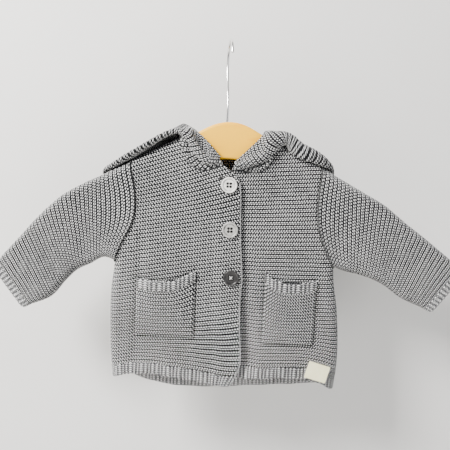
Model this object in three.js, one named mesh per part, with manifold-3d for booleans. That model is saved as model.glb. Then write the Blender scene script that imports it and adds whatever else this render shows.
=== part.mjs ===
// Hooded baby cardigan, knitted in garter stitch, hanging on a child's wooden hanger.
// Millimetres. +Z is up, +X is the viewer's right and +Y points from the front to the back.
// The origin is the inside top of the hook, where the hanger is held.
// "right" and "left" in the names of pieces are the wearer's, so the right front is at -X.
import * as THREE from "three";
import { mergeVertices } from "three/addons/utils/BufferGeometryUtils.js";
import Module from "manifold-3d";

const solids = await Module();
solids.setup();

// Driving sizes
const WALL = 2.6; // knitted cloth
const SEAM = 0.3; // between two pieces that are sewn together
const SHOULDER_ROUND = 10; // height over which the cloth rounds off a shoulder
const SIDE_ROUND = 12; // width over which the cloth rounds off a side seam
const CELL = 15; // size of a plain cloth facet
const HEM_RIB = 13;
const RIB_PITCH = 4.4;
const RIB_DEPTH = 0.9;
const CUFF_RIBS = 30;
const LAP = 26; // how far the right front lies over the left front
const LAP_LIFT = 1.8;
const LAP_BLEND = 12; // width over which a front rises into the lap
const LAP_INSET = 4; // the upper front is clear of the under one before its edge
const LAP_OVERRUN = 3; // the under front is still low past the upper one's edge
const LAP_WAVE = { base: 0.4, height: 0.3, length: 9 }; // slight flutter of the free edge
const CALM = { side: 25, shoulder: 20 }; // distance from a seam where creases have full height
const CREASE_ENDS = { start: 0.3, finish: 0.25 }; // shares of its length where a crease fades
const AT_SEAM = 1; // half-depth under which a cut edge lies on the seam
const PANEL_WIDTH = { back: 262, right: 142, left: 145 }; // at the armpits, for even columns
const NECK_STEP = 2.6; // second column by the neck point, in first columns
const BEND_STEPS = [0, 30, 60, 90]; // degrees of the facets round a seam

const HANGER = {
  centre: 4, // x of its middle
  crown: -88, // height of its highest point
  curve: 0.0104, // of the crown
  slope: 0.56, // of the arms' top edge
  half: 150, // half its width
  thick: 10,
  round: 3.5, // of its edges
  belly: -130, // height of its lower edge at the middle
  bellyCurve: 0.0068,
  bellySlope: 0.36,
  blunt: 3, // how much shorter the top edge is at each end
  bevel: 1.13, // drop of the sloped top edge under its rounding
  steps: 16, // facets along it
};
// The line on which the cloth's outside lies over the hanger
const SHOULDER = { centre: 4, crown: -84.8, curve: 0.0098, slope: 0.53 };
const HOOK = { wire: 3, hole: 3.4, depth: 18, turn: 82, steps: 32, sides: 10 };
// The hook's wire, by its distance from the stem's line towards the tip and its height
const HOOK_PATH = [
  { reach: 0, z: -104 },
  { reach: 0, z: -88 },
  { reach: 0, z: -72 },
  { reach: -5, z: -56 },
  { reach: -13, z: -40 },
  { reach: -17.3, z: -24 },
  { reach: -15.6, z: -8.6 },
  { reach: -8.6, z: -0.8 },
  { reach: 0, z: 1.5 },
  { reach: 8.8, z: -0.9 },
  { reach: 14.8, z: -7.4 },
  { reach: 17, z: -14 },
];

const ARMPIT = { right: { x: -123, z: -252 }, left: { x: 131, z: -248 } };
const NECK_POINT = { right: -53, left: 58 }; // x, on the shoulder line
const SHOULDER_END = { right: -107, left: 109 };
// Side seams and armhole seams from the hem up
const SIDE = {
  right: [
    { z: -410, x: -123 },
    { z: -390, x: -124 },
    { z: -367, x: -125.5 },
    { z: -341, x: -127 },
    { z: -288, x: -127 },
    { z: -265, x: -124.5 },
    { z: -252, x: -123 },
  ],
  left: [
    { z: -410, x: 139.5 },
    { z: -394, x: 141 },
    { z: -372, x: 143 },
    { z: -345, x: 143 },
    { z: -319, x: 141 },
    { z: -294, x: 138 },
    { z: -268, x: 133 },
    { z: -248, x: 131 },
  ],
};
const ARMHOLE = {
  right: [
    { z: -252, x: -123 },
    { z: -226, x: -112 },
    { z: -208, x: -103 },
    { z: -190, x: -99 },
    { z: -170, x: -100 },
    { z: -150, x: -104 },
    { z: -136.8, x: -107 },
  ],
  left: [
    { z: -248, x: 131 },
    { z: -238, x: 123 },
    { z: -222, x: 115 },
    { z: -198, x: 107.5 },
    { z: -179, x: 106 },
    { z: -155, x: 107 },
    { z: -133.6, x: 109 },
  ],
};
// The free edge of the right front, which laps over the left front
const FRONT_EDGE = [
  { z: -404, x: 14 },
  { z: -392, x: 17 },
  { z: -381, x: 23 },
  { z: -370, x: 27.5 },
  { z: -359, x: 28.5 },
  { z: -319, x: 25.5 },
  { z: -285, x: 24.5 },
  { z: -265, x: 25.5 },
  { z: -218, x: 21.5 },
  { z: -170, x: 19.5 },
  { z: -156, x: 18 },
];
const NECKLINE = {
  right: [
    { x: -53, z: -107.9 },
    { x: -48, z: -120 },
    { x: -42, z: -134 },
    { x: -32, z: -142 },
    { x: -20, z: -144 },
    { x: -10, z: -140 },
    { x: -3, z: -136 },
    { x: 5, z: -141 },
    { x: 12, z: -147 },
    { x: 18, z: -156 },
  ],
  left: [
    { x: -12, z: -153 },
    { x: 2, z: -146 },
    { x: 14, z: -142 },
    { x: 26, z: -143.5 },
    { x: 36, z: -144 },
    { x: 45, z: -139 },
    { x: 53, z: -124 },
    { x: 58, z: -106.3 },
  ],
  back: [
    { x: -53, z: -107.9 },
    { x: -40, z: -113 },
    { x: -20, z: -116.5 },
    { x: 0, z: -117 },
    { x: 22, z: -116 },
    { x: 44, z: -112 },
    { x: 58, z: -106.3 },
  ],
};
const HEM = {
  right: [
    { x: -127, z: -391 },
    { x: -122, z: -390 },
    { x: -110, z: -386 },
    { x: -94, z: -383 },
    { x: -77, z: -383 },
    { x: -54, z: -386 },
    { x: -28, z: -389 },
    { x: -3, z: -392.5 },
    { x: 12, z: -394 },
    { x: 30, z: -394 },
  ],
  left: [
    { x: -12, z: -388 },
    { x: 3, z: -387.5 },
    { x: 19, z: -386 },
    { x: 40, z: -384 },
    { x: 59, z: -383 },
    { x: 84, z: -381 },
    { x: 102, z: -381 },
    { x: 124, z: -386 },
    { x: 138, z: -393 },
    { x: 143, z: -395 },
  ],
  back: [
    { x: -127, z: -391 },
    { x: -122, z: -390 },
    { x: -108, z: -393 },
    { x: -88, z: -399.5 },
    { x: -56, z: -406 },
    { x: -12, z: -407 },
    { x: 30, z: -403.5 },
    { x: 79, z: -399.5 },
    { x: 112, z: -396.5 },
    { x: 138, z: -393 },
    { x: 143, z: -395 },
  ],
};
// Half the depth of the hanging body, by height
const BODY_DEPTH = [
  { z: -410, depth: 15 },
  { z: -390, depth: 15 },
  { z: -330, depth: 17 },
  { z: -260, depth: 18 },
  { z: -200, depth: 17 },
  { z: -150, depth: 14 },
  { z: -90, depth: 14 },
];
// Soft creases of the hanging cloth: a line from one end to the other, raised or sunk
const CREASES = {
  front: [
    { x: -93, z: -222, endX: -95, endZ: -372, width: 8, height: -1.8 },
    { x: -112, z: -262, endX: -62, endZ: -238, width: 9, height: 1.4 },
    { x: -84, z: -150, endX: -60, endZ: -205, width: 10, height: 1.2 },
    { x: -20, z: -300, endX: -14, endZ: -378, width: 9, height: 1 },
    { x: 42, z: -285, endX: 41, endZ: -378, width: 8, height: -1.4 },
    { x: 70, z: -150, endX: 92, endZ: -205, width: 10, height: 1.2 },
    { x: 118, z: -262, endX: 84, endZ: -234, width: 9, height: -1.4 },
    { x: 120, z: -290, endX: 122, endZ: -372, width: 9, height: 1.3 },
  ],
  back: [
    { x: -88, z: -245, endX: -98, endZ: -380, width: 10, height: 1.8 },
    { x: -30, z: -250, endX: -24, endZ: -385, width: 11, height: -1.6 },
    { x: 45, z: -260, endX: 52, endZ: -378, width: 10, height: 1.5 },
    { x: 104, z: -250, endX: 112, endZ: -370, width: 9, height: -1.5 },
  ],
};
// Sleeve sections from the armhole to the cuff's end, by their top and under points
const SLEEVE = {
  right: [
    { topX: -107, topZ: -136.8, underX: -123, underZ: -252, depth: 15 },
    { topX: -135, topZ: -151.6, underX: -136, underZ: -249, depth: 15 },
    { topX: -160, topZ: -164, underX: -152, underZ: -258, depth: 14.5 },
    { topX: -186, topZ: -179.5, underX: -167, underZ: -266, depth: 14 },
    { topX: -211, topZ: -203, underX: -181, underZ: -280, depth: 13 },
    { topX: -233, topZ: -228, underX: -197, underZ: -299, depth: 12 },
    { topX: -258, topZ: -256.5, underX: -220, underZ: -309.5, depth: 10.5 },
    { topX: -265.5, topZ: -264.5, underX: -228.5, underZ: -314.5, depth: 10 },
  ],
  left: [
    { topX: 109, topZ: -133.6, underX: 131, underZ: -248, depth: 15 },
    { topX: 135, topZ: -147.4, underX: 144, underZ: -252.5, depth: 15 },
    { topX: 161, topZ: -161, underX: 160, underZ: -256, depth: 14.5 },
    { topX: 185, topZ: -174, underX: 176, underZ: -260.5, depth: 14 },
    { topX: 211, topZ: -193.5, underX: 192, underZ: -268, depth: 13 },
    { topX: 240, topZ: -214, underX: 212, underZ: -281.5, depth: 12 },
    { topX: 275, topZ: -240.5, underX: 238.5, underZ: -292.5, depth: 10.5 },
    { topX: 283.5, topZ: -247.5, underX: 247.5, underZ: -297.5, depth: 10 },
  ],
};
const SLEEVE_ROUND = { under: 0.11, top: 0.09 }; // shares of a section's height
const SLEEVE_BLEND = { depth: 2, bow: 1.6 }; // stations over which the armhole's form fades
const SLEEVE_LEAN = { from: 0.3, slope: 0.1, ends: 0.15 }; // of its creases
const SLEEVE_GAP = 0.6; // between a sleeve and the body's armhole edge
const RINGS = 2; // sleeve sections from one station to the next
const SLEEVE_CREASES = {
  right: [
    { along: 0.3, width: 0.05, from: 0.02, to: 0.55, height: -2 },
    { along: 0.43, width: 0.05, from: 0.05, to: 0.5, height: 1.6 },
    { along: 0.62, width: 0.05, from: 0.1, to: 0.6, height: -1.5 },
  ],
  left: [
    { along: 0.12, width: 0.05, from: 0.05, to: 0.5, height: -2 },
    { along: 0.34, width: 0.06, from: 0.1, to: 0.6, height: 1.5 },
    { along: 0.55, width: 0.05, from: 0.05, to: 0.5, height: -1.5 },
  ],
};
// Each half of the hood is a row of strips. A strip leaves the neck seam, turns outwards,
// runs to a fold and comes back to the face edge. "seam" is the place along the neck seam.
const HOOD = {
  right: [
    { seam: 0, turn: 20, x: -5, y: -17.6, z: -131.5, radius: 2.9, edgeX: -5, edgeY: -13.5, edgeZ: -127 },
    { seam: 0.16, turn: 40, x: -20, y: -21, z: -135, radius: 5, edgeX: -20, edgeY: -11, edgeZ: -111 },
    { seam: 0.44, turn: 40, x: -37, y: -21, z: -113, radius: 3.6, edgeX: -37, edgeY: -5, edgeZ: -97 },
    { seam: 0.515, turn: 70, x: -59, y: -21, z: -101.5, radius: 2.8, edgeX: -49, edgeY: 1, edgeZ: -91.5 },
    { seam: 0.64, turn: 120, x: -98, y: -18, z: -122, radius: 2.8, edgeX: -50, edgeY: 13, edgeZ: -97 },
    { seam: 0.76, turn: 150, x: -134, y: -5, z: -145.6, radius: 3, edgeX: -46, edgeY: 22, edgeZ: -110 },
    { seam: 0.86, turn: 165, x: -142, y: 20, z: -164, radius: 5, edgeX: -38, edgeY: 29, edgeZ: -128 },
    { seam: 0.94, turn: 175, x: -108, y: 23, z: -232, radius: 6, edgeX: -22, edgeY: 34, edgeZ: -150 },
    { seam: 1, turn: 180, x: -0.15, y: 24, z: -274, radius: 7, edgeX: -0.15, edgeY: 36, edgeZ: -163 },
  ],
  left: [
    { seam: 0, turn: 20, x: 10, y: -17.6, z: -137.5, radius: 2.9, edgeX: 10, edgeY: -13.5, edgeZ: -132 },
    { seam: 0.18, turn: 40, x: 22, y: -20, z: -135.5, radius: 4.5, edgeX: 21, edgeY: -11, edgeZ: -121 },
    { seam: 0.36, turn: 40, x: 46, y: -20.5, z: -126, radius: 6, edgeX: 38, edgeY: -9, edgeZ: -104 },
    { seam: 0.5, turn: 50, x: 66, y: -21, z: -106, radius: 8.5, edgeX: 46, edgeY: 1, edgeZ: -98 },
    { seam: 0.64, turn: 120, x: 90, y: -22, z: -118, radius: 9, edgeX: 50, edgeY: 13, edgeZ: -100 },
    { seam: 0.76, turn: 150, x: 117, y: -8, z: -130, radius: 6.5, edgeX: 46, edgeY: 22, edgeZ: -111 },
    { seam: 0.86, turn: 165, x: 128, y: 21, z: -152, radius: 5.5, edgeX: 38, edgeY: 29, edgeZ: -128 },
    { seam: 0.94, turn: 175, x: 102, y: 23, z: -230, radius: 6, edgeX: 22, edgeY: 34, edgeZ: -150 },
    { seam: 1, turn: 180, x: 0.15, y: 24, z: -274, radius: 7, edgeX: 0.15, edgeY: 36, edgeZ: -163 },
  ],
};
const HOOD_CORNER = { right: -3, left: 9 }; // x where each half starts on the neckline
const HOOD_EASE = 0.5; // more room along the curved neck seam
const HOOD_BEND = 1.7; // radius of the turn at the neck seam, on the cloth's right side
const HOOD_CLEAR = 2; // kept between the hood and the cloth it lies on
const HOOD_UPPER = 9; // and under the outside of its upper layer
const HOOD_EDGE = 5.5; // and under its face edge
const HOOD_MOUTH = { from: 26, to: 48 }; // nearer to the middle it hangs free in the neck
const HOOD_FOLD = 3.2; // radius up to which a fold is held off the shoulder
const SNAP = 2.6; // seam points this near to a corner of the panel's edge move onto it
const HOOD_SWING = { from: 0.25, over: 0.45 }; // places on the neck seam where the turn swings
const HOOD_START = 0.6; // straight rise of the turn at the neck seam
const HOOD_LIES = { from: 1.6, over: 0.9 }; // strips that start to lie on the shoulder
const HOOD_HUG = { from: 0.7, over: 0.3 }; // share of the under layer that leaves the shoulder
const HOOD_SETTLE = { from: 0.4, over: 0.6 }; // share of the upper layer that sinks to its edge
const HOOD_SOFT = { under: 8, over: 3 }; // how fast those clearances come in
const HOOD_AXIS = 0.2; // strips to each side that give a fold's direction
const HOOD_EXTRA = [2.25, 2.75]; // strips added at the neck point, where it turns sharply
const SHOULDER_DEEP = 15; // least half-depth of the shoulder under the hood
const QUARTER = 19; // way over the shoulder from its top to its straight front or back
const HOOD_COUNTS = { strips: 2, turn: 3, under: 11, fold: 5, over: 6 };
// Patch pockets: the dipping top edge, and the bottom edge's height
const POCKET = {
  wall: 2.4,
  bulge: 2.4, // of its middle, which hands have stretched
  bulgeRise: 25, // height over which it bulges from its bottom edge
  bulgeSide: 14,
  gap: 0.6, // behind it
  reach: 6, // to each side, within which it clears the front's creases
  rib: 11.5,
  ribPitch: 5.3,
  columns: 6,
  rows: 5,
  right: {
    bottom: -335.5,
    top: [
      { x: -95, z: -268 },
      { x: -77, z: -270.5 },
      { x: -57, z: -270 },
      { x: -43, z: -265 },
      { x: -28, z: -256 },
    ],
  },
  left: {
    bottom: -339,
    top: [
      { x: 51, z: -253.5 },
      { x: 60, z: -261.5 },
      { x: 73, z: -266 },
      { x: 89, z: -266 },
      { x: 110, z: -261.5 },
    ],
  },
};
const BUTTONS = [
  { name: "button_top", x: 5.5, z: -158, color: 0xe9e6df, dull: 0.35 },
  { name: "button_middle", x: 8.7, z: -208, color: 0xb9b7b2, dull: 0.4 },
  { name: "button_bottom", x: 12.5, z: -262.5, color: 0x4c4a49, dull: 0.3 },
];
const BUTTON = {
  radius: 9,
  thick: 2.8,
  edge: 0.9, // chamfer under the rim
  lip: 0.5, // chamfer on top of the rim
  rim: 1.8,
  slope: 1.1, // from the rim down to the dish
  dish: 0.9,
  hole: 1.15,
  holeAt: 2.45,
  holeSides: 6,
  sides: 20,
};
const LABEL = {
  x: 118,
  z: -370.5,
  width: 25,
  height: 20,
  back: 13, // height of the part of its back that lies on the cloth
  wall: 1,
  tilt: -15,
  fold: { inset: 0.3, low: 0.4, bend: 1.6, inside: 2.2 }, // heights and inset of its folded edge
  reach: { x: 16, z: 13.5, steps: 8 }, // half the patch of cloth that it clears
};

const COLORS = {
  knit: 0x9b9a97,
  rib: 0x92918f,
  label: 0xece8cc,
  wood: 0xe3b878,
  steel: 0xb8babd,
};

// Smooth values from a table, and the round rise of cloth from a seam
function slopeAt(rows, key, value, i) {
  const a = rows[Math.max(i - 1, 0)];
  const b = rows[Math.min(i + 1, rows.length - 1)];
  return (b[value] - a[value]) / (b[key] - a[key]);
}
function fromTable(rows, key, value, at) {
  let i = 0;
  while (i < rows.length - 2 && rows[i + 1][key] < at) i += 1;
  const step = rows[i + 1][key] - rows[i][key];
  const t = THREE.MathUtils.clamp((at - rows[i][key]) / step, 0, 1);
  const leave = slopeAt(rows, key, value, i) * step;
  const arrive = slopeAt(rows, key, value, i + 1) * step;
  const end = t * t * (3 - 2 * t);
  return (
    mix(rows[i][value], rows[i + 1][value], end) +
    leave * t * (1 - t) * (1 - t) -
    arrive * t * t * (1 - t)
  );
}
// A table's rows read as evenly spaced stations, at any place between them
function atStation(rows, value, at) {
  const i = Math.min(Math.floor(at), rows.length - 2);
  const t = at - i;
  const p0 = rows[Math.max(i - 1, 0)][value];
  const p1 = rows[i][value];
  const p2 = rows[i + 1][value];
  const p3 = rows[Math.min(i + 2, rows.length - 1)][value];
  const bend = 2 * p0 - 5 * p1 + 4 * p2 - p3 + t * (3 * (p1 - p2) + p3 - p0);
  return p1 + 0.5 * t * (p2 - p0 + t * bend);
}
function mix(a, b, t) {
  return a + (b - a) * t;
}
const round = (t) => (t >= 1 ? 1 : t <= 0 ? 0 : Math.sqrt(1 - (1 - t) ** 2));
const smooth = (t) => THREE.MathUtils.smoothstep(t, 0, 1);
const point = (x, y, z) => new THREE.Vector3(x, y, z);
const between = (a, b, t) => a.clone().lerp(b, t);

// The edges of the hanger, and the shoulder line of the cloth that rests on it
function arch(x, top, curve, slope) {
  const away = Math.abs(x - SHOULDER.centre);
  const bend = slope / (2 * curve);
  if (away < bend) return top - curve * away * away;
  return top - curve * bend * bend - slope * (away - bend);
}
const hangerTop = (x) => arch(x, HANGER.crown, HANGER.curve, HANGER.slope);
const hangerUnder = (x) => arch(x, HANGER.belly, HANGER.bellyCurve, HANGER.bellySlope);
const shoulderLine = (x) => arch(x, SHOULDER.crown, SHOULDER.curve, SHOULDER.slope);
const bodyDepth = (z) => fromTable(BODY_DEPTH, "z", "depth", z);

// How far a point lies in from the side seam, or from the armpit above it
function fromSide(x, z) {
  const side = x < 0 ? "right" : "left";
  const pit = ARMPIT[side];
  if (z > pit.z) return Math.hypot(x - pit.x, z - pit.z);
  const edge = fromTable(SIDE[side], "z", "x", z);
  return side === "right" ? x - edge : edge - x;
}
function creases(list, x, z) {
  let height = 0;
  for (const c of list) {
    const dx = c.endX - c.x;
    const dz = c.endZ - c.z;
    const along = ((x - c.x) * dx + (z - c.z) * dz) / (dx * dx + dz * dz);
    const near = THREE.MathUtils.clamp(along, 0, 1);
    const off = Math.hypot(x - c.x - near * dx, z - c.z - near * dz);
    const ends = smooth(near / CREASE_ENDS.start) * smooth((1 - near) / CREASE_ENDS.finish);
    height += c.height * ends * Math.exp(-((off / c.width) ** 2));
  }
  return height;
}
// Half-depth of the body's outside at a place seen from the front
function depthAt(x, z, list) {
  const seams = round(fromSide(x, z) / SIDE_ROUND);
  const top = round((shoulderLine(x) - z) / SHOULDER_ROUND);
  const calm = smooth(fromSide(x, z) / CALM.side) * smooth((shoulderLine(x) - z) / CALM.shoulder);
  return bodyDepth(z) * seams * top + calm * creases(list, x, z);
}
// The fronts part where one laps over the other
function lapAt(x, z, isOver) {
  const edge = fromTable(FRONT_EDGE, "z", "x", z);
  if (isOver) {
    const lift = LAP_LIFT + LAP_WAVE.base + LAP_WAVE.height * Math.sin(z / LAP_WAVE.length);
    return lift * smooth((x - edge + LAP + LAP_BLEND - LAP_INSET) / LAP_BLEND);
  }
  return -LAP_LIFT * smooth((edge + LAP_BLEND + LAP_OVERRUN - x) / LAP_BLEND);
}
const rightFrontY = (x, z) =>
  -Math.max(depthAt(x, z, CREASES.front) + lapAt(x, z, true), SEAM / 2);
const leftFrontY = (x, z) =>
  -Math.max(depthAt(x, z, CREASES.front) + lapAt(x, z, false), SEAM / 2);
const backY = (x, z) => Math.max(depthAt(x, z, CREASES.back), SEAM / 2);

// A closed wall under a grid of outside points. Columns crossed with rows point outwards
// when turned is 1. "steer" may set a normal, and "relief" sinks outside points only.
function wall(grid, { thick = WALL, wrap = false, turned = 1, steer = null, relief = null }) {
  const rows = grid.length;
  const cols = grid[0].length;
  const column = (j) => (wrap ? (j + cols) % cols : THREE.MathUtils.clamp(j, 0, cols - 1));
  const row = (i) => THREE.MathUtils.clamp(i, 0, rows - 1);
  const outside = [];
  const inside = [];
  for (let i = 0; i < rows; i += 1) {
    for (let j = 0; j < cols; j += 1) {
      const across = grid[i][column(j + 1)].clone().sub(grid[i][column(j - 1)]);
      const along = grid[row(i + 1)][j].clone().sub(grid[row(i - 1)][j]);
      const normal = across.cross(along).normalize().multiplyScalar(turned);
      if (steer) steer(normal, i, j);
      const sunk = relief ? relief(i, j) : 0;
      outside.push(...grid[i][j].clone().addScaledVector(normal, -sunk).toArray());
      inside.push(...grid[i][j].clone().addScaledVector(normal, -thick).toArray());
    }
  }
  const count = rows * cols;
  const index = [];
  const quad = (a, b, c, d) => {
    if (turned > 0) index.push(a, b, c, a, c, d);
    else index.push(a, c, b, a, d, c);
  };
  const at = (i, j) => i * cols + column(j);
  const last = wrap ? cols : cols - 1;
  for (let i = 0; i < rows - 1; i += 1) {
    for (let j = 0; j < last; j += 1) {
      const [a, b, c, d] = [at(i, j), at(i, j + 1), at(i + 1, j + 1), at(i + 1, j)];
      quad(a, b, c, d);
      quad(b + count, a + count, d + count, c + count);
    }
    if (!wrap) {
      const [a, d] = [at(i, 0), at(i + 1, 0)];
      const [b, c] = [at(i, cols - 1), at(i + 1, cols - 1)];
      quad(a, d, d + count, a + count);
      quad(c, b, b + count, c + count);
    }
  }
  for (let j = 0; j < last; j += 1) {
    const [a, b] = [at(0, j), at(0, j + 1)];
    const [d, c] = [at(rows - 1, j), at(rows - 1, j + 1)];
    quad(b, a, a + count, b + count);
    quad(d, c, c + count, d + count);
  }
  const geometry = new THREE.BufferGeometry();
  const positions = [...outside, ...inside];
  geometry.setAttribute("position", new THREE.Float32BufferAttribute(positions, 3));
  geometry.setIndex(index);
  geometry.computeVertexNormals();
  return geometry;
}
const cardigan = new THREE.Group();
cardigan.name = "baby_cardigan_on_hanger";
function add(name, geometry, color, dull, metal = 0) {
  const material = new THREE.MeshStandardMaterial({ color, roughness: dull, metalness: metal });
  material.name = name;
  const mesh = new THREE.Mesh(geometry, material);
  mesh.name = name;
  cardigan.add(mesh);
}

// Steps from 0 to 1: close over a rounded seam at the start (and end), then even
function steps(total, rounded, both) {
  const bend = BEND_STEPS.map((a) => rounded * (1 - Math.cos(THREE.MathUtils.degToRad(a))));
  const flat = total - rounded * (both ? 2 : 1);
  const count = Math.max(1, Math.round(flat / CELL));
  const list = [...bend];
  for (let k = 1; k <= count; k += 1) list.push(rounded + (flat * k) / count);
  if (both) list.push(...bend.slice(0, -1).reverse().map((b) => total - b));
  return list.map((s) => s / total);
}
// The same steps with one on the neck point and two close beside it on the neckline
function neckStops(list, from, to, necks) {
  for (const { x, inward } of necks) {
    const share = (x - from) / (to - from);
    const gaps = list.map((s) => Math.abs(s - share));
    const near = inward / Math.abs(to - from);
    list[gaps.indexOf(Math.min(...gaps))] = share;
    list.push(share + near, share + near * NECK_STEP);
  }
  return list.sort((a, b) => a - b);
}

// Body panels. Their rows climb a side seam, then an armhole seam, to the shoulder.
const PIT_ROW = 9;
const SETTLE = 8; // rounds until a height and the x that it depends on agree
function sideLine(side) {
  const pit = ARMPIT[side];
  const end = SHOULDER_END[side];
  let low = pit.z;
  for (let k = 0; k < SETTLE; k += 1) {
    low = fromTable(HEM[side], "x", "z", fromTable(SIDE[side], "z", "x", low)) + HEM_RIB + SEAM;
  }
  const line = [];
  for (let k = 0; k < PIT_ROW; k += 1) {
    const z = mix(low, pit.z, k / PIT_ROW);
    line.push({ x: fromTable(SIDE[side], "z", "x", z), z });
  }
  const height = shoulderLine(end) - pit.z;
  for (const share of steps(height, SHOULDER_ROUND, true)) {
    const z = pit.z + share * height;
    line.push({ x: fromTable(ARMHOLE[side], "z", "x", z), z });
  }
  return line;
}
const SIDE_LINE = { right: sideLine("right"), left: sideLine("left") };
SIDE_LINE.left.length = Math.min(SIDE_LINE.left.length, SIDE_LINE.right.length);

function panel({ hem, neck, first, last, columns, y }) {
  const low = (x) => fromTable(hem, "x", "z", x) + HEM_RIB + SEAM;
  const high = (x) => {
    if (x <= NECK_POINT.right || x >= NECK_POINT.left) return shoulderLine(x);
    return fromTable(neck, "x", "z", x);
  };
  const share = (p) => (p.z - low(p.x)) / (high(p.x) - low(p.x));
  const guide = first.line ?? last.line;
  return guide.map((_, i) => {
    const ends = [first, last].map((end) => {
      if (end.line) return { x: end.line[i].x, share: share(end.line[i]) };
      const rise = share(guide[i]);
      let z = guide[i].z;
      for (let k = 0; k < SETTLE; k += 1) z = mix(low(end.edge(z)), high(end.edge(z)), rise);
      return { x: end.edge(z), share: rise };
    });
    return columns.map((u) => {
      const x = mix(ends[0].x, ends[1].x, u);
      const z = mix(low(x), high(x), mix(ends[0].share, ends[1].share, u));
      return point(x, y(x, z), z);
    });
  });
}
const frontEdge = (z) => fromTable(FRONT_EDGE, "z", "x", z);
const underEdge = (z) => frontEdge(z) - LAP;
const topCorner = FRONT_EDGE[FRONT_EDGE.length - 1].x;
const rightNeck = { x: NECK_POINT.right, inward: WALL };
const leftNeck = { x: NECK_POINT.left, inward: WALL };
const panels = {
  back: panel({
    hem: HEM.back,
    neck: NECKLINE.back,
    first: { line: SIDE_LINE.right },
    last: { line: SIDE_LINE.left },
    columns: neckStops(
      steps(PANEL_WIDTH.back, SIDE_ROUND, true),
      SHOULDER_END.right,
      SHOULDER_END.left,
      [rightNeck, { ...leftNeck, inward: -WALL }],
    ),
    y: backY,
  }),
  right_front: panel({
    hem: HEM.right,
    neck: NECKLINE.right,
    first: { line: SIDE_LINE.right },
    last: { edge: frontEdge },
    columns: neckStops(
      steps(PANEL_WIDTH.right, SIDE_ROUND, false),
      SHOULDER_END.right,
      topCorner,
      [rightNeck],
    ),
    y: rightFrontY,
  }),
  left_front: panel({
    hem: HEM.left,
    neck: NECKLINE.left,
    first: { edge: underEdge },
    last: { line: SIDE_LINE.left },
    columns: neckStops(
      steps(PANEL_WIDTH.left, SIDE_ROUND, false),
      SHOULDER_END.left,
      topCorner - LAP,
      [leftNeck],
    )
      .map((u) => 1 - u)
      .reverse(),
    y: leftFrontY,
  }),
};
// At a seam between front and back the cut edge is square to the other panel
function squareAtSeams(grid) {
  const top = grid.length - 1;
  const end = grid[0].length - 1;
  return (normal, i, j) => {
    const p = grid[i][j];
    const sideSeam = i <= PIT_ROW && (j === 0 || j === end) && Math.abs(p.y) < AT_SEAM;
    const shoulder = i === top && Math.abs(p.y) < AT_SEAM;
    if (sideSeam || shoulder) normal.setY(0).normalize();
    else if (j === 0 || j === end) normal.setX(0).normalize();
  };
}
for (const [name, grid] of Object.entries(panels)) {
  const turned = name === "back" ? -1 : 1;
  add(name, wall(grid, { turned, steer: squareAtSeams(grid) }), COLORS.knit, 0.95);
}

// Knitted-on ribs. They follow the real edge of the piece above, a seam's width away.
function alongEdge(edge, count, closed) {
  const ends = closed ? [...edge, edge[0]] : edge;
  const lengths = [0];
  for (let k = 1; k < ends.length; k += 1) {
    lengths.push(lengths[k - 1] + ends[k].distanceTo(ends[k - 1]));
  }
  const list = [];
  for (let n = 0; n < count + (closed ? 0 : 1); n += 1) {
    const s = (lengths[ends.length - 1] * n) / count;
    let k = 0;
    while (k < ends.length - 2 && lengths[k + 1] < s) k += 1;
    list.push(between(ends[k], ends[k + 1], (s - lengths[k]) / (lengths[k + 1] - lengths[k])));
  }
  return list;
}
function lengthOf(edge) {
  let total = 0;
  for (let k = 1; k < edge.length; k += 1) total += edge[k].distanceTo(edge[k - 1]);
  return total;
}
const ribRelief = (i, j) => (j % 2 ? RIB_DEPTH : 0);
const DRIFT = 30; // how far from an edge a rib band leans with it
function hemRib(name, hem, y) {
  const edge = panels[name][0];
  const ribs = Math.round(lengthOf(edge) / RIB_PITCH);
  const top = alongEdge(edge, ribs * 2, false).map((p) => p.setZ(p.z - SEAM));
  const low = top.map((p) => {
    const z = fromTable(hem, "x", "z", p.x);
    const side = SIDE[p.x < 0 ? "right" : "left"];
    const seam = fromTable(side, "z", "x", p.z);
    const drift = fromTable(side, "z", "x", z) - seam;
    const corner = name === "right_front" ? frontEdge(z) - frontEdge(p.z) : 0;
    const nearSeam = smooth(1 - Math.abs(p.x - seam) / DRIFT);
    const nearCorner = smooth(1 - (frontEdge(p.z) - p.x) / DRIFT);
    const x = p.x + drift * nearSeam + corner * nearCorner;
    return point(x, Math.abs(p.y) < AT_SEAM ? p.y : y(x, z), z);
  });
  const grid = [low, top];
  const steer = (normal, i, j) => {
    if (Math.abs(grid[i][j].y) < AT_SEAM) normal.setY(0).normalize();
  };
  const turned = name === "back" ? -1 : 1;
  const geometry = wall(grid, { turned, steer, relief: ribRelief });
  add(name + "_hem_rib", geometry, COLORS.rib, 0.95);
}
hemRib("back", HEM.back, backY);
hemRib("right_front", HEM.right, rightFrontY);
hemRib("left_front", HEM.left, leftFrontY);

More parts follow.
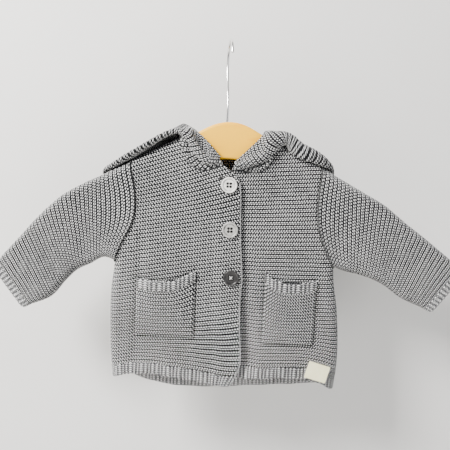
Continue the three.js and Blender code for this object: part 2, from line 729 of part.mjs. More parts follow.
// Sleeves are knitted as tubes with one seam underneath
function sleeveRing(side, station) {
  const table = SLEEVE[side];
  const sign = side === "right" ? -1 : 1;
  const line = SIDE_LINE[side].slice(PIT_ROW);
  const whole = station / (table.length - 1);
  const top = point(atStation(table, "topX", station), 0, atStation(table, "topZ", station));
  const under = point(atStation(table, "underX", station), 0, atStation(table, "underZ", station));
  const depth = atStation(table, "depth", station);
  const first = smooth(1 - station / SLEEVE_BLEND.depth);
  const shape = (k, isFront) => {
    const seamPoint = line[k];
    const from = point(line[0].x, 0, line[0].z);
    const to = point(line[line.length - 1].x, 0, line[line.length - 1].z);
    const share = (seamPoint.z - from.z) / (to.z - from.z);
    const bow = seamPoint.x - mix(from.x, to.x, share);
    const p = between(under, top, share);
    p.x += bow * (1 - smooth(station / SLEEVE_BLEND.bow));
    const seamDepth = isFront
      ? -(side === "right" ? rightFrontY : leftFrontY)(seamPoint.x, seamPoint.z)
      : backY(seamPoint.x, seamPoint.z);
    const { under: low, top: high } = SLEEVE_ROUND;
    const tubeDepth = depth * round(share / low) * round((1 - share) / high);
    let out = mix(tubeDepth, seamDepth, first);
    for (const c of SLEEVE_CREASES[side]) {
      const lean = SLEEVE_LEAN.slope * (share - SLEEVE_LEAN.from);
      const near = Math.exp(-(((whole - c.along - lean) / c.width) ** 2));
      const start = smooth((share - c.from) / SLEEVE_LEAN.ends);
      out += c.height * near * start * smooth((c.to - share) / SLEEVE_LEAN.ends);
    }
    p.y = isFront ? -out : out;
    return p;
  };
  const ring = [];
  for (let k = 0; k < line.length; k += 1) ring.push(shape(k, true));
  for (let k = line.length - 2; k > 0; k -= 1) ring.push(shape(k, false));
  ring[0].y = 0;
  ring[line.length - 1].y = 0;
  const shift = station === 0 ? SLEEVE_GAP * sign : 0;
  return ring.map((p) => p.setX(p.x + shift));
}
function shifted(ring, toward, distance) {
  const sumOf = (list) => list.reduce((sum, p) => sum.add(p), point(0, 0, 0));
  const middle = (list) => sumOf(list).divideScalar(list.length);
  const step = middle(toward).sub(middle(ring)).normalize().multiplyScalar(distance);
  return ring.map((p) => p.clone().add(step));
}
for (const side of ["right", "left"]) {
  const last = SLEEVE[side].length - 1;
  const rings = [];
  for (let k = 0; k <= (last - 1) * RINGS; k += 1) rings.push(sleeveRing(side, k / RINGS));
  const turned = side === "right" ? 1 : -1;
  const steer = (normal, i) => {
    if (i === 0) normal.setX(0).normalize();
  };
  add(side + "_sleeve", wall(rings, { wrap: true, turned, steer }), COLORS.knit, 0.95);
  const end = sleeveRing(side, last);
  const foot = shifted(rings[rings.length - 1], end, SEAM);
  const cuff = [foot, end].map((ring) => alongEdge(ring, CUFF_RIBS * 2, true));
  const geometry = wall(cuff, { wrap: true, turned, relief: ribRelief });
  add(side + "_cuff_rib", geometry, COLORS.rib, 0.95);
}

// Patch pockets are knitted apart and sewn on round three sides
function pocket(side, y) {
  const shape = POCKET[side];
  const rows = shape.top;
  const [from, to] = [rows[0].x, rows[rows.length - 1].x];
  const top = (x) => fromTable(rows, "x", "z", x);
  const outward = (x, z) => {
    const inner = Math.min(x - from, to - x) / POCKET.bulgeSide;
    const rise = smooth((z - shape.bottom) / POCKET.bulgeRise);
    const lift = POCKET.bulge * smooth(inner) * rise;
    const panelY = Math.min(y(x - POCKET.reach, z), y(x, z), y(x + POCKET.reach, z));
    return point(x, panelY - POCKET.gap - POCKET.wall - lift, z);
  };
  const grid = [];
  for (let i = 0; i <= POCKET.rows; i += 1) {
    const row = [];
    for (let j = 0; j <= POCKET.columns; j += 1) {
      const x = mix(from, to, j / POCKET.columns);
      row.push(outward(x, mix(shape.bottom, top(x) - POCKET.rib - SEAM, i / POCKET.rows)));
    }
    grid.push(row);
  }
  const flat = (normal) => normal.set(0, -1, 0);
  add(side + "_pocket", wall(grid, { thick: POCKET.wall, steer: flat }), COLORS.knit, 0.95);
  const edge = grid[POCKET.rows];
  const ribs = Math.round(lengthOf(edge) / POCKET.ribPitch);
  const foot = alongEdge(edge, ribs * 2, false).map((p) => p.setZ(p.z + SEAM));
  const high = foot.map((p) => outward(p.x, top(p.x)));
  const geometry = wall([foot, high], { thick: POCKET.wall, steer: flat, relief: ribRelief });
  add(side + "_pocket_rib", geometry, COLORS.rib, 0.95);
}
pocket("right", rightFrontY);
pocket("left", leftFrontY);

// Hood halves, joined to the neckline and to each other down the middle
function neckSeam(side, place) {
  const sign = side === "right" ? -1 : 1;
  const onFront = place < 0.5;
  const corner = onFront ? HOOD_CORNER[side] : sign * SEAM * 0.5;
  const wanted = mix(corner, NECK_POINT[side], 1 - Math.abs(place - 0.5) * 2);
  const grid = panels[onFront ? side + "_front" : "back"];
  const edge = grid[grid.length - 1];
  const ownEnd = place === 0 || place === 1;
  const near = edge.find((p) => !ownEnd && Math.abs(p.x - wanted) < SNAP);
  const x = near ? near.x : wanted;
  let k = 0;
  while (k < edge.length - 2 && edge[k + 1].x < x) k += 1;
  const start = between(edge[k], edge[k + 1], (x - edge[k].x) / (edge[k + 1].x - edge[k].x));
  const run = edge[k + 1].clone().sub(edge[k]);
  const rise = point(-run.z, 0, run.x).normalize();
  return { start: start.addScaledVector(rise, SEAM + HOOD_EASE), rise };
}
// A place by its way over the shoulder (front below 0, back above) and how far off it lies
const deepAt = (z) => Math.max(bodyDepth(z), SHOULDER_DEEP);
function overShoulder(p) {
  const centre = shoulderLine(p.x) - SHOULDER_ROUND;
  const deep = deepAt(p.z);
  if (p.z <= centre) {
    const over = Math.sign(p.y) * (QUARTER + centre - p.z);
    return { x: p.x, over, clear: Math.abs(p.y) - deep };
  }
  const [across, above] = [p.y / deep, (p.z - centre) / SHOULDER_ROUND];
  const over = (Math.atan2(across, above) / (Math.PI / 2)) * QUARTER;
  return { x: p.x, over, clear: (Math.hypot(across, above) - 1) * SHOULDER_ROUND };
}
function offShoulder({ x, over, clear }) {
  const centre = shoulderLine(x) - SHOULDER_ROUND;
  const past = Math.abs(over) - QUARTER;
  if (past > 0) return point(x, Math.sign(over) * (deepAt(centre - past) + clear), centre - past);
  const angle = (over / QUARTER) * (Math.PI / 2);
  const scale = 1 + clear / SHOULDER_ROUND;
  const z = centre + SHOULDER_ROUND * scale * Math.cos(angle);
  return point(x, deepAt(z) * scale * Math.sin(angle), z);
}
function kept(p, least) {
  const place = overShoulder(p);
  return place.clear < least ? offShoulder({ ...place, clear: least }) : p;
}
function aroundShoulder(a, b, t, least) {
  const from = overShoulder(a);
  const to = overShoulder(b);
  const clear = Math.max(mix(from.clear, to.clear, t), least);
  return offShoulder({ x: mix(from.x, to.x, t), over: mix(from.over, to.over, t), clear });
}
// A smooth path that leaves one point and reaches another in given directions
function path(a, leave, b, reach, t) {
  const span = a.distanceTo(b);
  const end = t * t * (3 - 2 * t);
  return between(a, b, end)
    .addScaledVector(leave, span * t * (1 - t) * (1 - t))
    .addScaledVector(reach, -span * t * t * (1 - t));
}
function rowPoint(rows, at, x, y, z) {
  return point(atStation(rows, x, at), atStation(rows, y, at), atStation(rows, z, at));
}
const foldPoint = (rows, at) => rowPoint(rows, at, "x", "y", "z");
function hoodStrip(side, at) {
  const rows = HOOD[side];
  const sign = side === "right" ? -1 : 1;
  const seam = THREE.MathUtils.clamp(atStation(rows, "seam", at), 0, 1);
  const { start, rise } = neckSeam(side, seam);
  const edge = rowPoint(rows, at, "edgeX", "edgeY", "edgeZ");
  const fold = foldPoint(rows, at);
  const radius = atStation(rows, "radius", at);
  const last = rows.length - 1;
  const ahead = foldPoint(rows, Math.min(at + HOOD_AXIS, last));
  const axis = ahead.sub(foldPoint(rows, Math.max(at - HOOD_AXIS, 0)));
  if (at === last) axis.set(1, 0, 0);
  axis.normalize();
  const outward = fold.clone().sub(between(start, edge, 0.5));
  outward.addScaledVector(axis, -outward.dot(axis)).normalize();
  const up = edge.clone().sub(start);
  up.addScaledVector(axis, -up.dot(axis));
  up.addScaledVector(outward, -up.dot(outward)).normalize();
  const middle = fold.clone().addScaledVector(outward, -radius);

  // The turn at the neck seam swings from the front, past the neck point, to the back
  const swing = Math.PI * smooth((seam - HOOD_SWING.from) / HOOD_SWING.over) - Math.PI / 2;
  const aside = point(sign * Math.cos(swing), Math.sin(swing), 0);
  const turn = THREE.MathUtils.degToRad(atStation(rows, "turn", at));
  const strip = [start];
  for (let k = 1; k <= HOOD_COUNTS.turn; k += 1) {
    const a = (turn * k) / HOOD_COUNTS.turn;
    const lift = HOOD_BEND * Math.sin(a) + HOOD_START * (k / HOOD_COUNTS.turn);
    const turned = start.clone().addScaledVector(aside, HOOD_BEND * (1 - Math.cos(a)));
    strip.push(turned.add(point(0, 0, lift)));
  }
  const leave = aside.clone().multiplyScalar(Math.sin(turn)).add(point(0, 0, Math.cos(turn)));
  const begin = strip[strip.length - 1];
  const under = middle.clone().addScaledVector(up, -radius);
  const over = middle.clone().addScaledVector(up, radius);
  const lies = smooth((at - HOOD_LIES.from) / HOOD_LIES.over);
  for (let k = 1; k <= HOOD_COUNTS.under; k += 1) {
    const t = k / HOOD_COUNTS.under;
    const free = path(begin, leave, under, outward, t);
    const least = lies * HOOD_CLEAR * smooth(t * HOOD_SOFT.under);
    const around = aroundShoulder(begin, under, t, least);
    const share = lies * (1 - smooth((t - HOOD_HUG.from) / HOOD_HUG.over));
    strip.push(least > 0 ? kept(between(free, around, share), least) : free);
  }
  for (let k = 1; k < HOOD_COUNTS.fold; k += 1) {
    const a = (Math.PI * k) / HOOD_COUNTS.fold - Math.PI / 2;
    const round = middle
      .clone()
      .addScaledVector(outward, radius * Math.cos(a))
      .addScaledVector(up, radius * Math.sin(a));
    const least = HOOD_CLEAR + Math.min(radius, HOOD_FOLD) * (1 + Math.sin(a));
    strip.push(lies > 0 ? kept(round, lies * least) : round);
  }
  const back = outward.clone().negate();
  const finish = edge.clone().sub(over).normalize();
  for (let k = 0; k <= HOOD_COUNTS.over; k += 1) {
    const t = k / HOOD_COUNTS.over;
    const free = path(over, back, edge, finish, t);
    const sink = smooth((t - HOOD_SETTLE.from) / HOOD_SETTLE.over);
    const settled = mix(HOOD_UPPER, HOOD_EDGE, sink);
    const away = Math.abs(free.x - SHOULDER.centre);
    const outside = smooth((away - HOOD_MOUTH.from) / (HOOD_MOUTH.to - HOOD_MOUTH.from));
    const overFold = HOOD_CLEAR + Math.min(radius, HOOD_FOLD) * 2;
    const upper = mix(overFold, settled, smooth(t * HOOD_SOFT.over)) * outside;
    strip.push(lies > 0 ? between(free, kept(free, upper), lies) : free);
  }
  return { strip, rise };
}
for (const side of ["right", "left"]) {
  const last = HOOD[side].length - 1;
  const strips = [];
  const rises = [];
  const places = [];
  for (let k = 0; k <= last * HOOD_COUNTS.strips; k += 1) places.push(k / HOOD_COUNTS.strips);
  places.push(...HOOD_EXTRA);
  for (const place of places.sort((a, b) => a - b)) {
    const { strip, rise } = hoodStrip(side, place);
    strips.push(strip);
    rises.push(rise);
  }
  const end = strips.length - 1;
  for (const p of strips[end]) p.x = side === "right" ? -SEAM / 2 : SEAM / 2;
  const steer = (normal, i, j) => {
    if (i === end) normal.setX(0).normalize();
    if (j > 0) return;
    const dip = Math.max(normal.dot(rises[i]), 0);
    normal.addScaledVector(rises[i], -dip).normalize();
  };
  const turned = side === "right" ? 1 : -1;
  add(side + "_hood", wall(strips, { turned, steer }), COLORS.knit, 0.95);
}

// Buttons: a turned disc with a raised rim and four holes, sewn through its holes
function button({ name, x, z, color, dull }) {
  const b = BUTTON;
  const profile = [
    [0, 0],
    [b.radius - b.edge, 0],
    [b.radius, b.edge],
    [b.radius, b.thick - b.lip],
    [b.radius - b.lip, b.thick],
    [b.radius - b.rim, b.thick],
    [b.radius - b.rim - b.slope, b.thick - b.dish],
    [0, b.thick - b.dish],
  ].map(([r, h]) => new THREE.Vector2(r, h));
  const disc = solidOf(new THREE.LatheGeometry(profile, b.sides));
  const holes = [0, 1, 2, 3].map((k) => {
    const a = (Math.PI * (2 * k + 1)) / 4;
    const hole = new THREE.CylinderGeometry(b.hole, b.hole, b.thick * 4, b.holeSides);
    hole.translate(b.holeAt * Math.cos(a), 0, b.holeAt * Math.sin(a));
    return solidOf(hole);
  });
  let body = disc;
  for (const hole of holes) body = body.subtract(hole);
  const geometry = geometryOf(body);
  geometry.rotateX(Math.PI);
  let out = 0;
  for (let k = 0; k < b.sides; k += 1) {
    const a = (2 * Math.PI * k) / b.sides;
    out = Math.min(out, rightFrontY(x + b.radius * Math.cos(a), z + b.radius * Math.sin(a)));
  }
  geometry.translate(x, Math.min(out, rightFrontY(x, z)) - SEAM, z);
  add(name, geometry, color, dull);
}
function solidOf(geometry) {
  const clean = geometry.clone();
  clean.deleteAttribute("uv");
  clean.deleteAttribute("normal");
  const merged = mergeVertices(clean, 1e-4);
  const mesh = new solids.Mesh({
    numProp: 3,
    vertProperties: new Float32Array(merged.attributes.position.array),
    triVerts: new Uint32Array(merged.index.array),
  });
  mesh.merge();
  return new solids.Manifold(mesh);
}
function geometryOf(solid) {
  const mesh = solid.getMesh();
  const geometry = new THREE.BufferGeometry();
  geometry.setAttribute("position", new THREE.BufferAttribute(mesh.vertProperties, 3));
  geometry.setIndex(Array.from(mesh.triVerts));
  geometry.computeVertexNormals();
  return geometry;
}
BUTTONS.forEach(button);

// A blank tab of woven tape, folded at its lower edge and sewn on near the hem
function label() {
  const l = LABEL;
  const gap = SEAM;
  const out = l.wall * 2 + gap;
  const profile = [
    [0, l.height / 2],
    [0, l.height / 2 - l.back],
    [l.fold.inset, -l.height / 2 + l.fold.low],
    [out / 2, -l.height / 2],
    [out - l.fold.inset, -l.height / 2 + l.fold.low],
    [out, -l.height / 2 + l.fold.bend],
    [out, l.height / 2],
    [out - l.wall, l.height / 2],
    [out - l.wall, -l.height / 2 + l.fold.inside],
    [l.wall, -l.height / 2 + l.fold.inside],
    [l.wall, l.height / 2],
  ];
  const shape = new THREE.Shape(profile.map(([depth, h]) => new THREE.Vector2(depth, h)));
  const geometry = new THREE.ExtrudeGeometry(shape, { depth: l.width, bevelEnabled: false });
  geometry.translate(0, 0, -l.width / 2);
  // Depth to -Y, height to +Z, width to X, then the tilt seen from the front
  geometry.applyMatrix4(
    new THREE.Matrix4().makeBasis(point(0, -1, 0), point(0, 0, 1), point(-1, 0, 0)),
  );
  geometry.rotateY(THREE.MathUtils.degToRad(-l.tilt));
  let y = 0;
  for (let k = 0; k <= l.reach.steps; k += 1) {
    for (let n = 0; n <= l.reach.steps; n += 1) {
      const x = l.x + mix(-l.reach.x, l.reach.x, k / l.reach.steps);
      const z = l.z + mix(-l.reach.z, l.reach.z, n / l.reach.steps);
      y = Math.min(y, leftFrontY(x, z));
    }
  }
  geometry.translate(l.x, y - SEAM, l.z);
  add("hem_label", geometryOf(solidOf(geometry)), COLORS.label, 0.9);
}
label();

// The hanger: a bowed beech board with rounded edges, bored for its wire hook
function hangerBoard() {
  const h = HANGER;
  const inset = h.round;
  const outline = [];
  for (let k = 0; k <= h.steps; k += 1) {
    const end = h.half - inset - h.blunt;
    const x = h.centre + mix(end, -end, k / h.steps);
    outline.push(new THREE.Vector2(x, hangerTop(x) - inset * h.bevel));
  }
  for (let k = 0; k <= h.steps; k += 1) {
    const x = h.centre + mix(-h.half + inset, h.half - inset, k / h.steps);
    outline.push(new THREE.Vector2(x, hangerUnder(x) + inset));
  }
  const geometry = new THREE.ExtrudeGeometry(new THREE.Shape(outline), {
    depth: h.thick - 2 * inset,
    bevelThickness: inset,
    bevelSize: inset,
    bevelSegments: 3,
  });
  geometry.translate(0, 0, -(h.thick - 2 * inset) / 2);
  geometry.rotateX(Math.PI / 2);
  const bore = new THREE.CylinderGeometry(HOOK.hole / 2, HOOK.hole / 2, HOOK.depth * 2, 12);
  bore.rotateX(Math.PI / 2);
  bore.translate(0, 0, h.crown);
  const board = solidOf(geometry).subtract(solidOf(bore));
  add("hanger_board", geometryOf(board), COLORS.wood, 0.45);
}
function hangerHook() {
  const angle = THREE.MathUtils.degToRad(HOOK.turn);
  const toward = point(Math.cos(angle), -Math.sin(angle), 0);
  const points = HOOK_PATH.map(({ reach, z }) => point(0, 0, z).addScaledVector(toward, reach));
  const curve = new THREE.CatmullRomCurve3(points);
  const ring = new THREE.Shape();
  ring.absarc(0, 0, HOOK.wire / 2, 0, Math.PI * 2);
  const geometry = new THREE.ExtrudeGeometry(ring, {
    steps: HOOK.steps,
    curveSegments: HOOK.sides / 2,
    extrudePath: curve,
  });
  add("hanger_hook", geometryOf(solidOf(geometry)), COLORS.steel, 0.25, 0.9);
}
hangerBoard();
hangerHook();

export default cardigan;
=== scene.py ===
import math

import bmesh
import bpy
import numpy as np
from mathutils import Matrix, Vector


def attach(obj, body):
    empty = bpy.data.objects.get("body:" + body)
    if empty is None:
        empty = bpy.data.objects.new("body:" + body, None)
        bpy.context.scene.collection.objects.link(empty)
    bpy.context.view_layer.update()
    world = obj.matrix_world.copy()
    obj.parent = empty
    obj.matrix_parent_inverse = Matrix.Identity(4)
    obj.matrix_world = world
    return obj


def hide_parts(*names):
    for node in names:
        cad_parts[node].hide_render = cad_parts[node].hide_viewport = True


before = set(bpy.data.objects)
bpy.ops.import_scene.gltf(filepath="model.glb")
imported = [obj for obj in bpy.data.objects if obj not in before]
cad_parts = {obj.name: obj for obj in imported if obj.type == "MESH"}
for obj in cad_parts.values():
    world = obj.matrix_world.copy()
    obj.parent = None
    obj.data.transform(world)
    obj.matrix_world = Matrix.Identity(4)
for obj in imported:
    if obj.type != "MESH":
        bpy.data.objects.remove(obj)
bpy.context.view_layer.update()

# The body: a back and two fronts, knitted in garter stitch from the hem up in thick heather
# grey cotton, and sewn up at the sides and shoulders. They hang on the hanger's arms. The
# right front laps over the left one. All sizes are in millimetres until a mesh is made.
# Thickness of the cloth, the gap at a seam, and the size of a ridge and of a stitch
CLOTH = 2.6
SEAM = 0.3
RIDGE = 4.6
STITCH = 3.0
SHOULDER = {"centre": 4, "crown": -84.8, "curve": 0.0098, "slope": 0.53}
SHOULDER_ROUND = 10
SIDE_ROUND = 12
HEM_BAND = 13
# How wide the lap is, how far it stands out, and how far the front under it lies back
LAP = 26
LAP_LIFT = 1.8
LAP_SINK = 2.6
LAP_OPEN = 3.4
LAP_BLEND = 12
SLACK = 0.35
ARMPIT = {"right": (-123, -252), "left": (131, -248)}
NECK_POINT = {"right": -53, "left": 58}
SHOULDER_END = {"right": -107, "left": 109}
# Height and x of the side seams, and of the armhole seams above them
SIDE_SEAM = {
    "right": [(-410, -123), (-390, -124), (-367, -125.5), (-341, -127), (-288, -127),
              (-265, -124.5), (-252, -123)],
    "left": [(-410, 139.5), (-394, 141), (-372, 143), (-345, 143), (-319, 141),
             (-294, 138), (-268, 133), (-248, 131)],
}
ARMHOLE = {
    "right": [(-252, -123), (-226, -112), (-208, -103), (-190, -99), (-170, -100),
              (-150, -104), (-136.5, -107)],
    "left": [(-248, 131), (-238, 123), (-222, 115), (-198, 107.5), (-179, 106),
             (-155, 107), (-133.3, 109)],
}
FREE_EDGE = [(-404, 14), (-392, 17), (-381, 23), (-370, 27.5), (-359, 28.5), (-319, 25.5),
             (-285, 24.5), (-265, 25.5), (-218, 21.5), (-170, 19.5), (-156, 18)]
# x and height of the necklines and hems
NECKLINE = {
    "right": [(-53, -107.9), (-48, -120), (-42, -134), (-32, -142), (-20, -144),
              (-10, -140), (-3, -136), (5, -141), (12, -147), (18, -156)],
    "left": [(-12, -153), (2, -146), (14, -142), (26, -143.5), (36, -144), (45, -139),
             (53, -124), (58, -106.3)],
    "back": [(-53, -107.9), (-40, -113), (-20, -116.5), (0, -117), (22, -116),
             (44, -112), (58, -106.3)],
}
HEM = {
    "right": [(-127, -391), (-122, -390), (-110, -386), (-94, -383), (-77, -383),
              (-54, -386), (-28, -389), (-3, -392.5), (12, -394), (30, -394)],
    "left": [(-12, -388), (3, -387.5), (19, -386), (40, -384), (59, -383), (84, -381),
             (102, -381), (124, -386), (138, -393), (143, -395)],
    "back": [(-127, -391), (-122, -390), (-108, -393), (-88, -399.5), (-56, -406),
             (-12, -407), (30, -403.5), (79, -399.5), (112, -396.5), (138, -393), (143, -395)],
}
HALF_DEPTH = [(-410, 15), (-390, 15), (-330, 17), (-260, 18), (-200, 17), (-150, 14),
              (-90, 14)]
# Creases: x and height of both ends, width, and how far they stand out
CREASES = {
    "front": [(-93, -222, -95, -372, 8, -1.8), (-112, -262, -62, -238, 9, 1.4),
              (-84, -150, -60, -205, 10, 1.2), (-20, -300, -14, -378, 9, 1.0),
              (42, -285, 41, -378, 8, -1.4), (70, -150, 92, -205, 10, 1.2),
              (118, -262, 84, -234, 9, -1.4), (120, -290, 122, -372, 9, 1.3)],
    "back": [(-88, -245, -98, -380, 10, 1.8), (-30, -250, -24, -385, 11, -1.6),
             (45, -260, 52, -378, 10, 1.5), (104, -250, 112, -370, 9, -1.5)],
}
# Slighter ones, that only the knitted surface has
SOFT_CREASES = {
    "front": [(-104, -300, -101, -360, 5, 0.9), (-90, -205, -91, -265, 5, -1.6),
              (-93, -338, -99, -380, 5, -1.3), (-60, -215, -40, -290, 8, 0.7),
              (-118, -240, -80, -222, 5, 0.8), (60, -190, 84, -250, 7, 0.7),
              (126, -244, 104, -215, 5, -0.8), (74, -345, 80, -378, 6, 0.6),
              (-58, -348, -52, -378, 6, 0.7)],
    "back": [(-10, -180, -16, -250, 9, 0.8), (60, -180, 80, -240, 8, 0.8),
             (-70, -180, -90, -240, 8, 0.8)],
}


def along(table, at, key=0, value=1):
    """A smooth line through a table's rows."""
    rows = np.array(table, float)
    k, v = rows[:, key], rows[:, value]
    lo, hi = np.maximum(np.arange(len(k)) - 1, 0), np.minimum(np.arange(len(k)) + 1, len(k) - 1)
    slope = (v[hi] - v[lo]) / (k[hi] - k[lo])
    at = np.asarray(at, float)
    i = np.clip(np.searchsorted(k, at) - 1, 0, len(k) - 2)
    step = k[i + 1] - k[i]
    t = np.clip((at - k[i]) / step, 0, 1)
    end = t * t * (3 - 2 * t)
    bend = slope[i] * step * t * (1 - t) ** 2 - slope[i + 1] * step * t * t * (1 - t)
    return v[i] + (v[i + 1] - v[i]) * end + bend


def mix(a, b, t):
    return a + (b - a) * t


def eased(t):
    t = np.clip(t, 0, 1)
    return t * t * (3 - 2 * t)


def rounded(t):
    return np.sqrt(np.maximum(1 - (1 - np.clip(t, 0, 1)) ** 2, 0))


def shoulder_line(x):
    away = np.abs(np.asarray(x, float) - SHOULDER["centre"])
    bend = SHOULDER["slope"] / (2 * SHOULDER["curve"])
    near = SHOULDER["crown"] - SHOULDER["curve"] * away**2
    far = SHOULDER["crown"] - SHOULDER["curve"] * bend**2 - SHOULDER["slope"] * (away - bend)
    return np.where(away < bend, near, far)


def from_side(x, z):
    result = np.zeros(np.broadcast(x, z).shape)
    for side, sign in (("right", 1), ("left", -1)):
        pit_x, pit_z = ARMPIT[side]
        below = sign * (x - along(SIDE_SEAM[side], z))
        above = np.hypot(x - pit_x, z - pit_z)
        here = (x < 0) if side == "right" else (x >= 0)
        result = np.where(here, np.where(z > pit_z, above, below), result)
    return result


def dip(off, width):
    """A soft trough's or ridge's share of its depth, at a distance from its middle."""
    return np.exp(-((off / width) ** 2))


def crease_height(table, x, z):
    height = 0.0
    for x0, z0, x1, z1, width, out in table:
        dx, dz = x1 - x0, z1 - z0
        near = np.clip(((x - x0) * dx + (z - z0) * dz) / (dx * dx + dz * dz), 0, 1)
        off = np.hypot(x - x0 - near * dx, z - z0 - near * dz)
        ends = eased(near / 0.3) * eased((1 - near) / 0.25)
        height = height + out * ends * dip(off, width)
    return height


def body_depth(x, z, face):
    seams = rounded(from_side(x, z) / SIDE_ROUND)
    top = rounded((shoulder_line(x) - z) / SHOULDER_ROUND)
    calm = eased(from_side(x, z) / 25) * eased((shoulder_line(x) - z) / 20)
    slack = SLACK * np.sin(x / 17 + z / 41) * np.sin(z / 23 - x / 60)
    folds = crease_height(CREASES[face], x, z) + crease_height(SOFT_CREASES[face], x, z)
    return along(HALF_DEPTH, z) * seams * top + calm * (folds + slack)


def right_front_y(x, z):
    lift = LAP_LIFT + 0.4 + 0.3 * np.sin(z / 9)
    over = lift * eased((x - along(FREE_EDGE, z) + LAP + LAP_BLEND - 4) / LAP_BLEND)
    return -np.maximum(body_depth(x, z, "front") + over, SEAM / 2)


def left_front_y(x, z):
    # Lower down, where no button holds it, the lap stands further off
    sink = LAP_SINK + LAP_OPEN * eased((-z - 265) / 60)
    under = sink * eased((along(FREE_EDGE, z) + LAP_BLEND + 8 - x) / (LAP_BLEND + 4))
    return -np.maximum(body_depth(x, z, "front") - under, SEAM / 2)


def back_y(x, z):
    return np.maximum(body_depth(x, z, "back"), SEAM / 2)


def around_bend(width, count):
    """Steps over a rounded seam, even along the cloth."""
    return width * (1 - np.cos(np.linspace(0, math.pi / 2, count + 1)))[:-1]


def seam_steps(total, start, end, cell):
    """Places from 0 to 1 across a piece, closer over its rounded seams."""
    first = around_bend(start, max(3, int(start * 1.5 / cell))) if start else np.array([])
    last = around_bend(end, max(3, int(end * 1.5 / cell))) if end else np.array([])
    flat = np.linspace(start, total - end, int((total - start - end) / cell) + 2)
    return np.concatenate([first, flat, (total - last)[::-1]]) / total


CELL = 0.82
# The inside of the cloth is plain, and has one point for each of these on the outside
INSIDE_EVERY = 8


def side_line(side):
    """Points up a side seam and then its armhole seam, with the row of the armpit."""
    pit_z = ARMPIT[side][1]
    low = pit_z
    for _ in range(8):
        low = along(HEM[side], along(SIDE_SEAM[side], low)) + HEM_BAND + SEAM
    top = shoulder_line(SHOULDER_END[side])
    below = np.linspace(low, pit_z, int((pit_z - low) / CELL))[:-1]
    above = pit_z + (top - pit_z) * seam_steps(top - pit_z, SHOULDER_ROUND, SHOULDER_ROUND, CELL)
    z = np.concatenate([below, above])
    x = np.where(z < pit_z, along(SIDE_SEAM[side], z), along(ARMHOLE[side], z))
    return x, z, len(below)


SIDES = {"right": side_line("right"), "left": side_line("left")}


def panel_points(hem, neck, first, last, columns, y):
    def low(x):
        return along(hem, x) + HEM_BAND + SEAM

    def high(x):
        on_neck = (x > NECK_POINT["right"]) & (x < NECK_POINT["left"])
        return np.where(on_neck, along(neck, x), shoulder_line(x))

    guide_x, guide_z, _ = SIDES[first if isinstance(first, str) else last]
    rise = (guide_z - low(guide_x)) / (high(guide_x) - low(guide_x))
    ends = []
    for end in (first, last):
        if isinstance(end, str):
            x, z, _ = SIDES[end]
            # Both side lines have as many rows as the guide
            where = np.linspace(0, 1, len(guide_z))
            x = np.interp(where, np.linspace(0, 1, len(x)), x)
            z = np.interp(where, np.linspace(0, 1, len(z)), z)
        else:
            z = guide_z.copy()
            for _ in range(8):
                z = mix(low(end(z)), high(end(z)), rise)
            x = end(z)
        ends.append((x, (z - low(x)) / (high(x) - low(x))))
    x = mix(ends[0][0][:, None], ends[1][0][:, None], columns[None, :])
    share = mix(ends[0][1][:, None], ends[1][1][:, None], columns[None, :])
    z = mix(low(x), high(x), share)
    return np.stack([x, y(x, z), z], axis=-1)


def grid_normals(grid, wrap, turned):
    if wrap:
        across = np.roll(grid, -1, axis=1) - np.roll(grid, 1, axis=1)
    else:
        across = np.gradient(grid, axis=1)
    normal = np.cross(across, np.gradient(grid, axis=0)) * turned
    return normal / np.maximum(np.linalg.norm(normal, axis=2, keepdims=True), 1e-9)


def border_strip(fine, coarse, at):
    """Triangles from a fine edge to the coarse one beside it. "at" is where they meet."""
    faces = []
    for k in range(len(coarse) - 1):
        a, b = at[k], at[k + 1]
        middle = (a + b) // 2
        for n in range(a, b):
            faces.append((fine[n], fine[n + 1], coarse[k] if n < middle else coarse[k + 1]))
        faces.append((coarse[k], fine[middle], coarse[k + 1]))
    return faces


def laid_out(name, mesh):
    piece = bpy.data.objects.new(name, mesh)
    bpy.context.collection.objects.link(piece)
    return piece


def uv_turn(uv):
    """How far a tube's measure runs in one turn, in whole stitches."""
    step = uv[:, -1:, 0] - uv[:, -2:-1, 0]
    whole = np.round(uv[:, -1:, 0] + step - uv[:, :1, 0])
    return np.stack([whole, np.zeros_like(whole)], axis=-1)


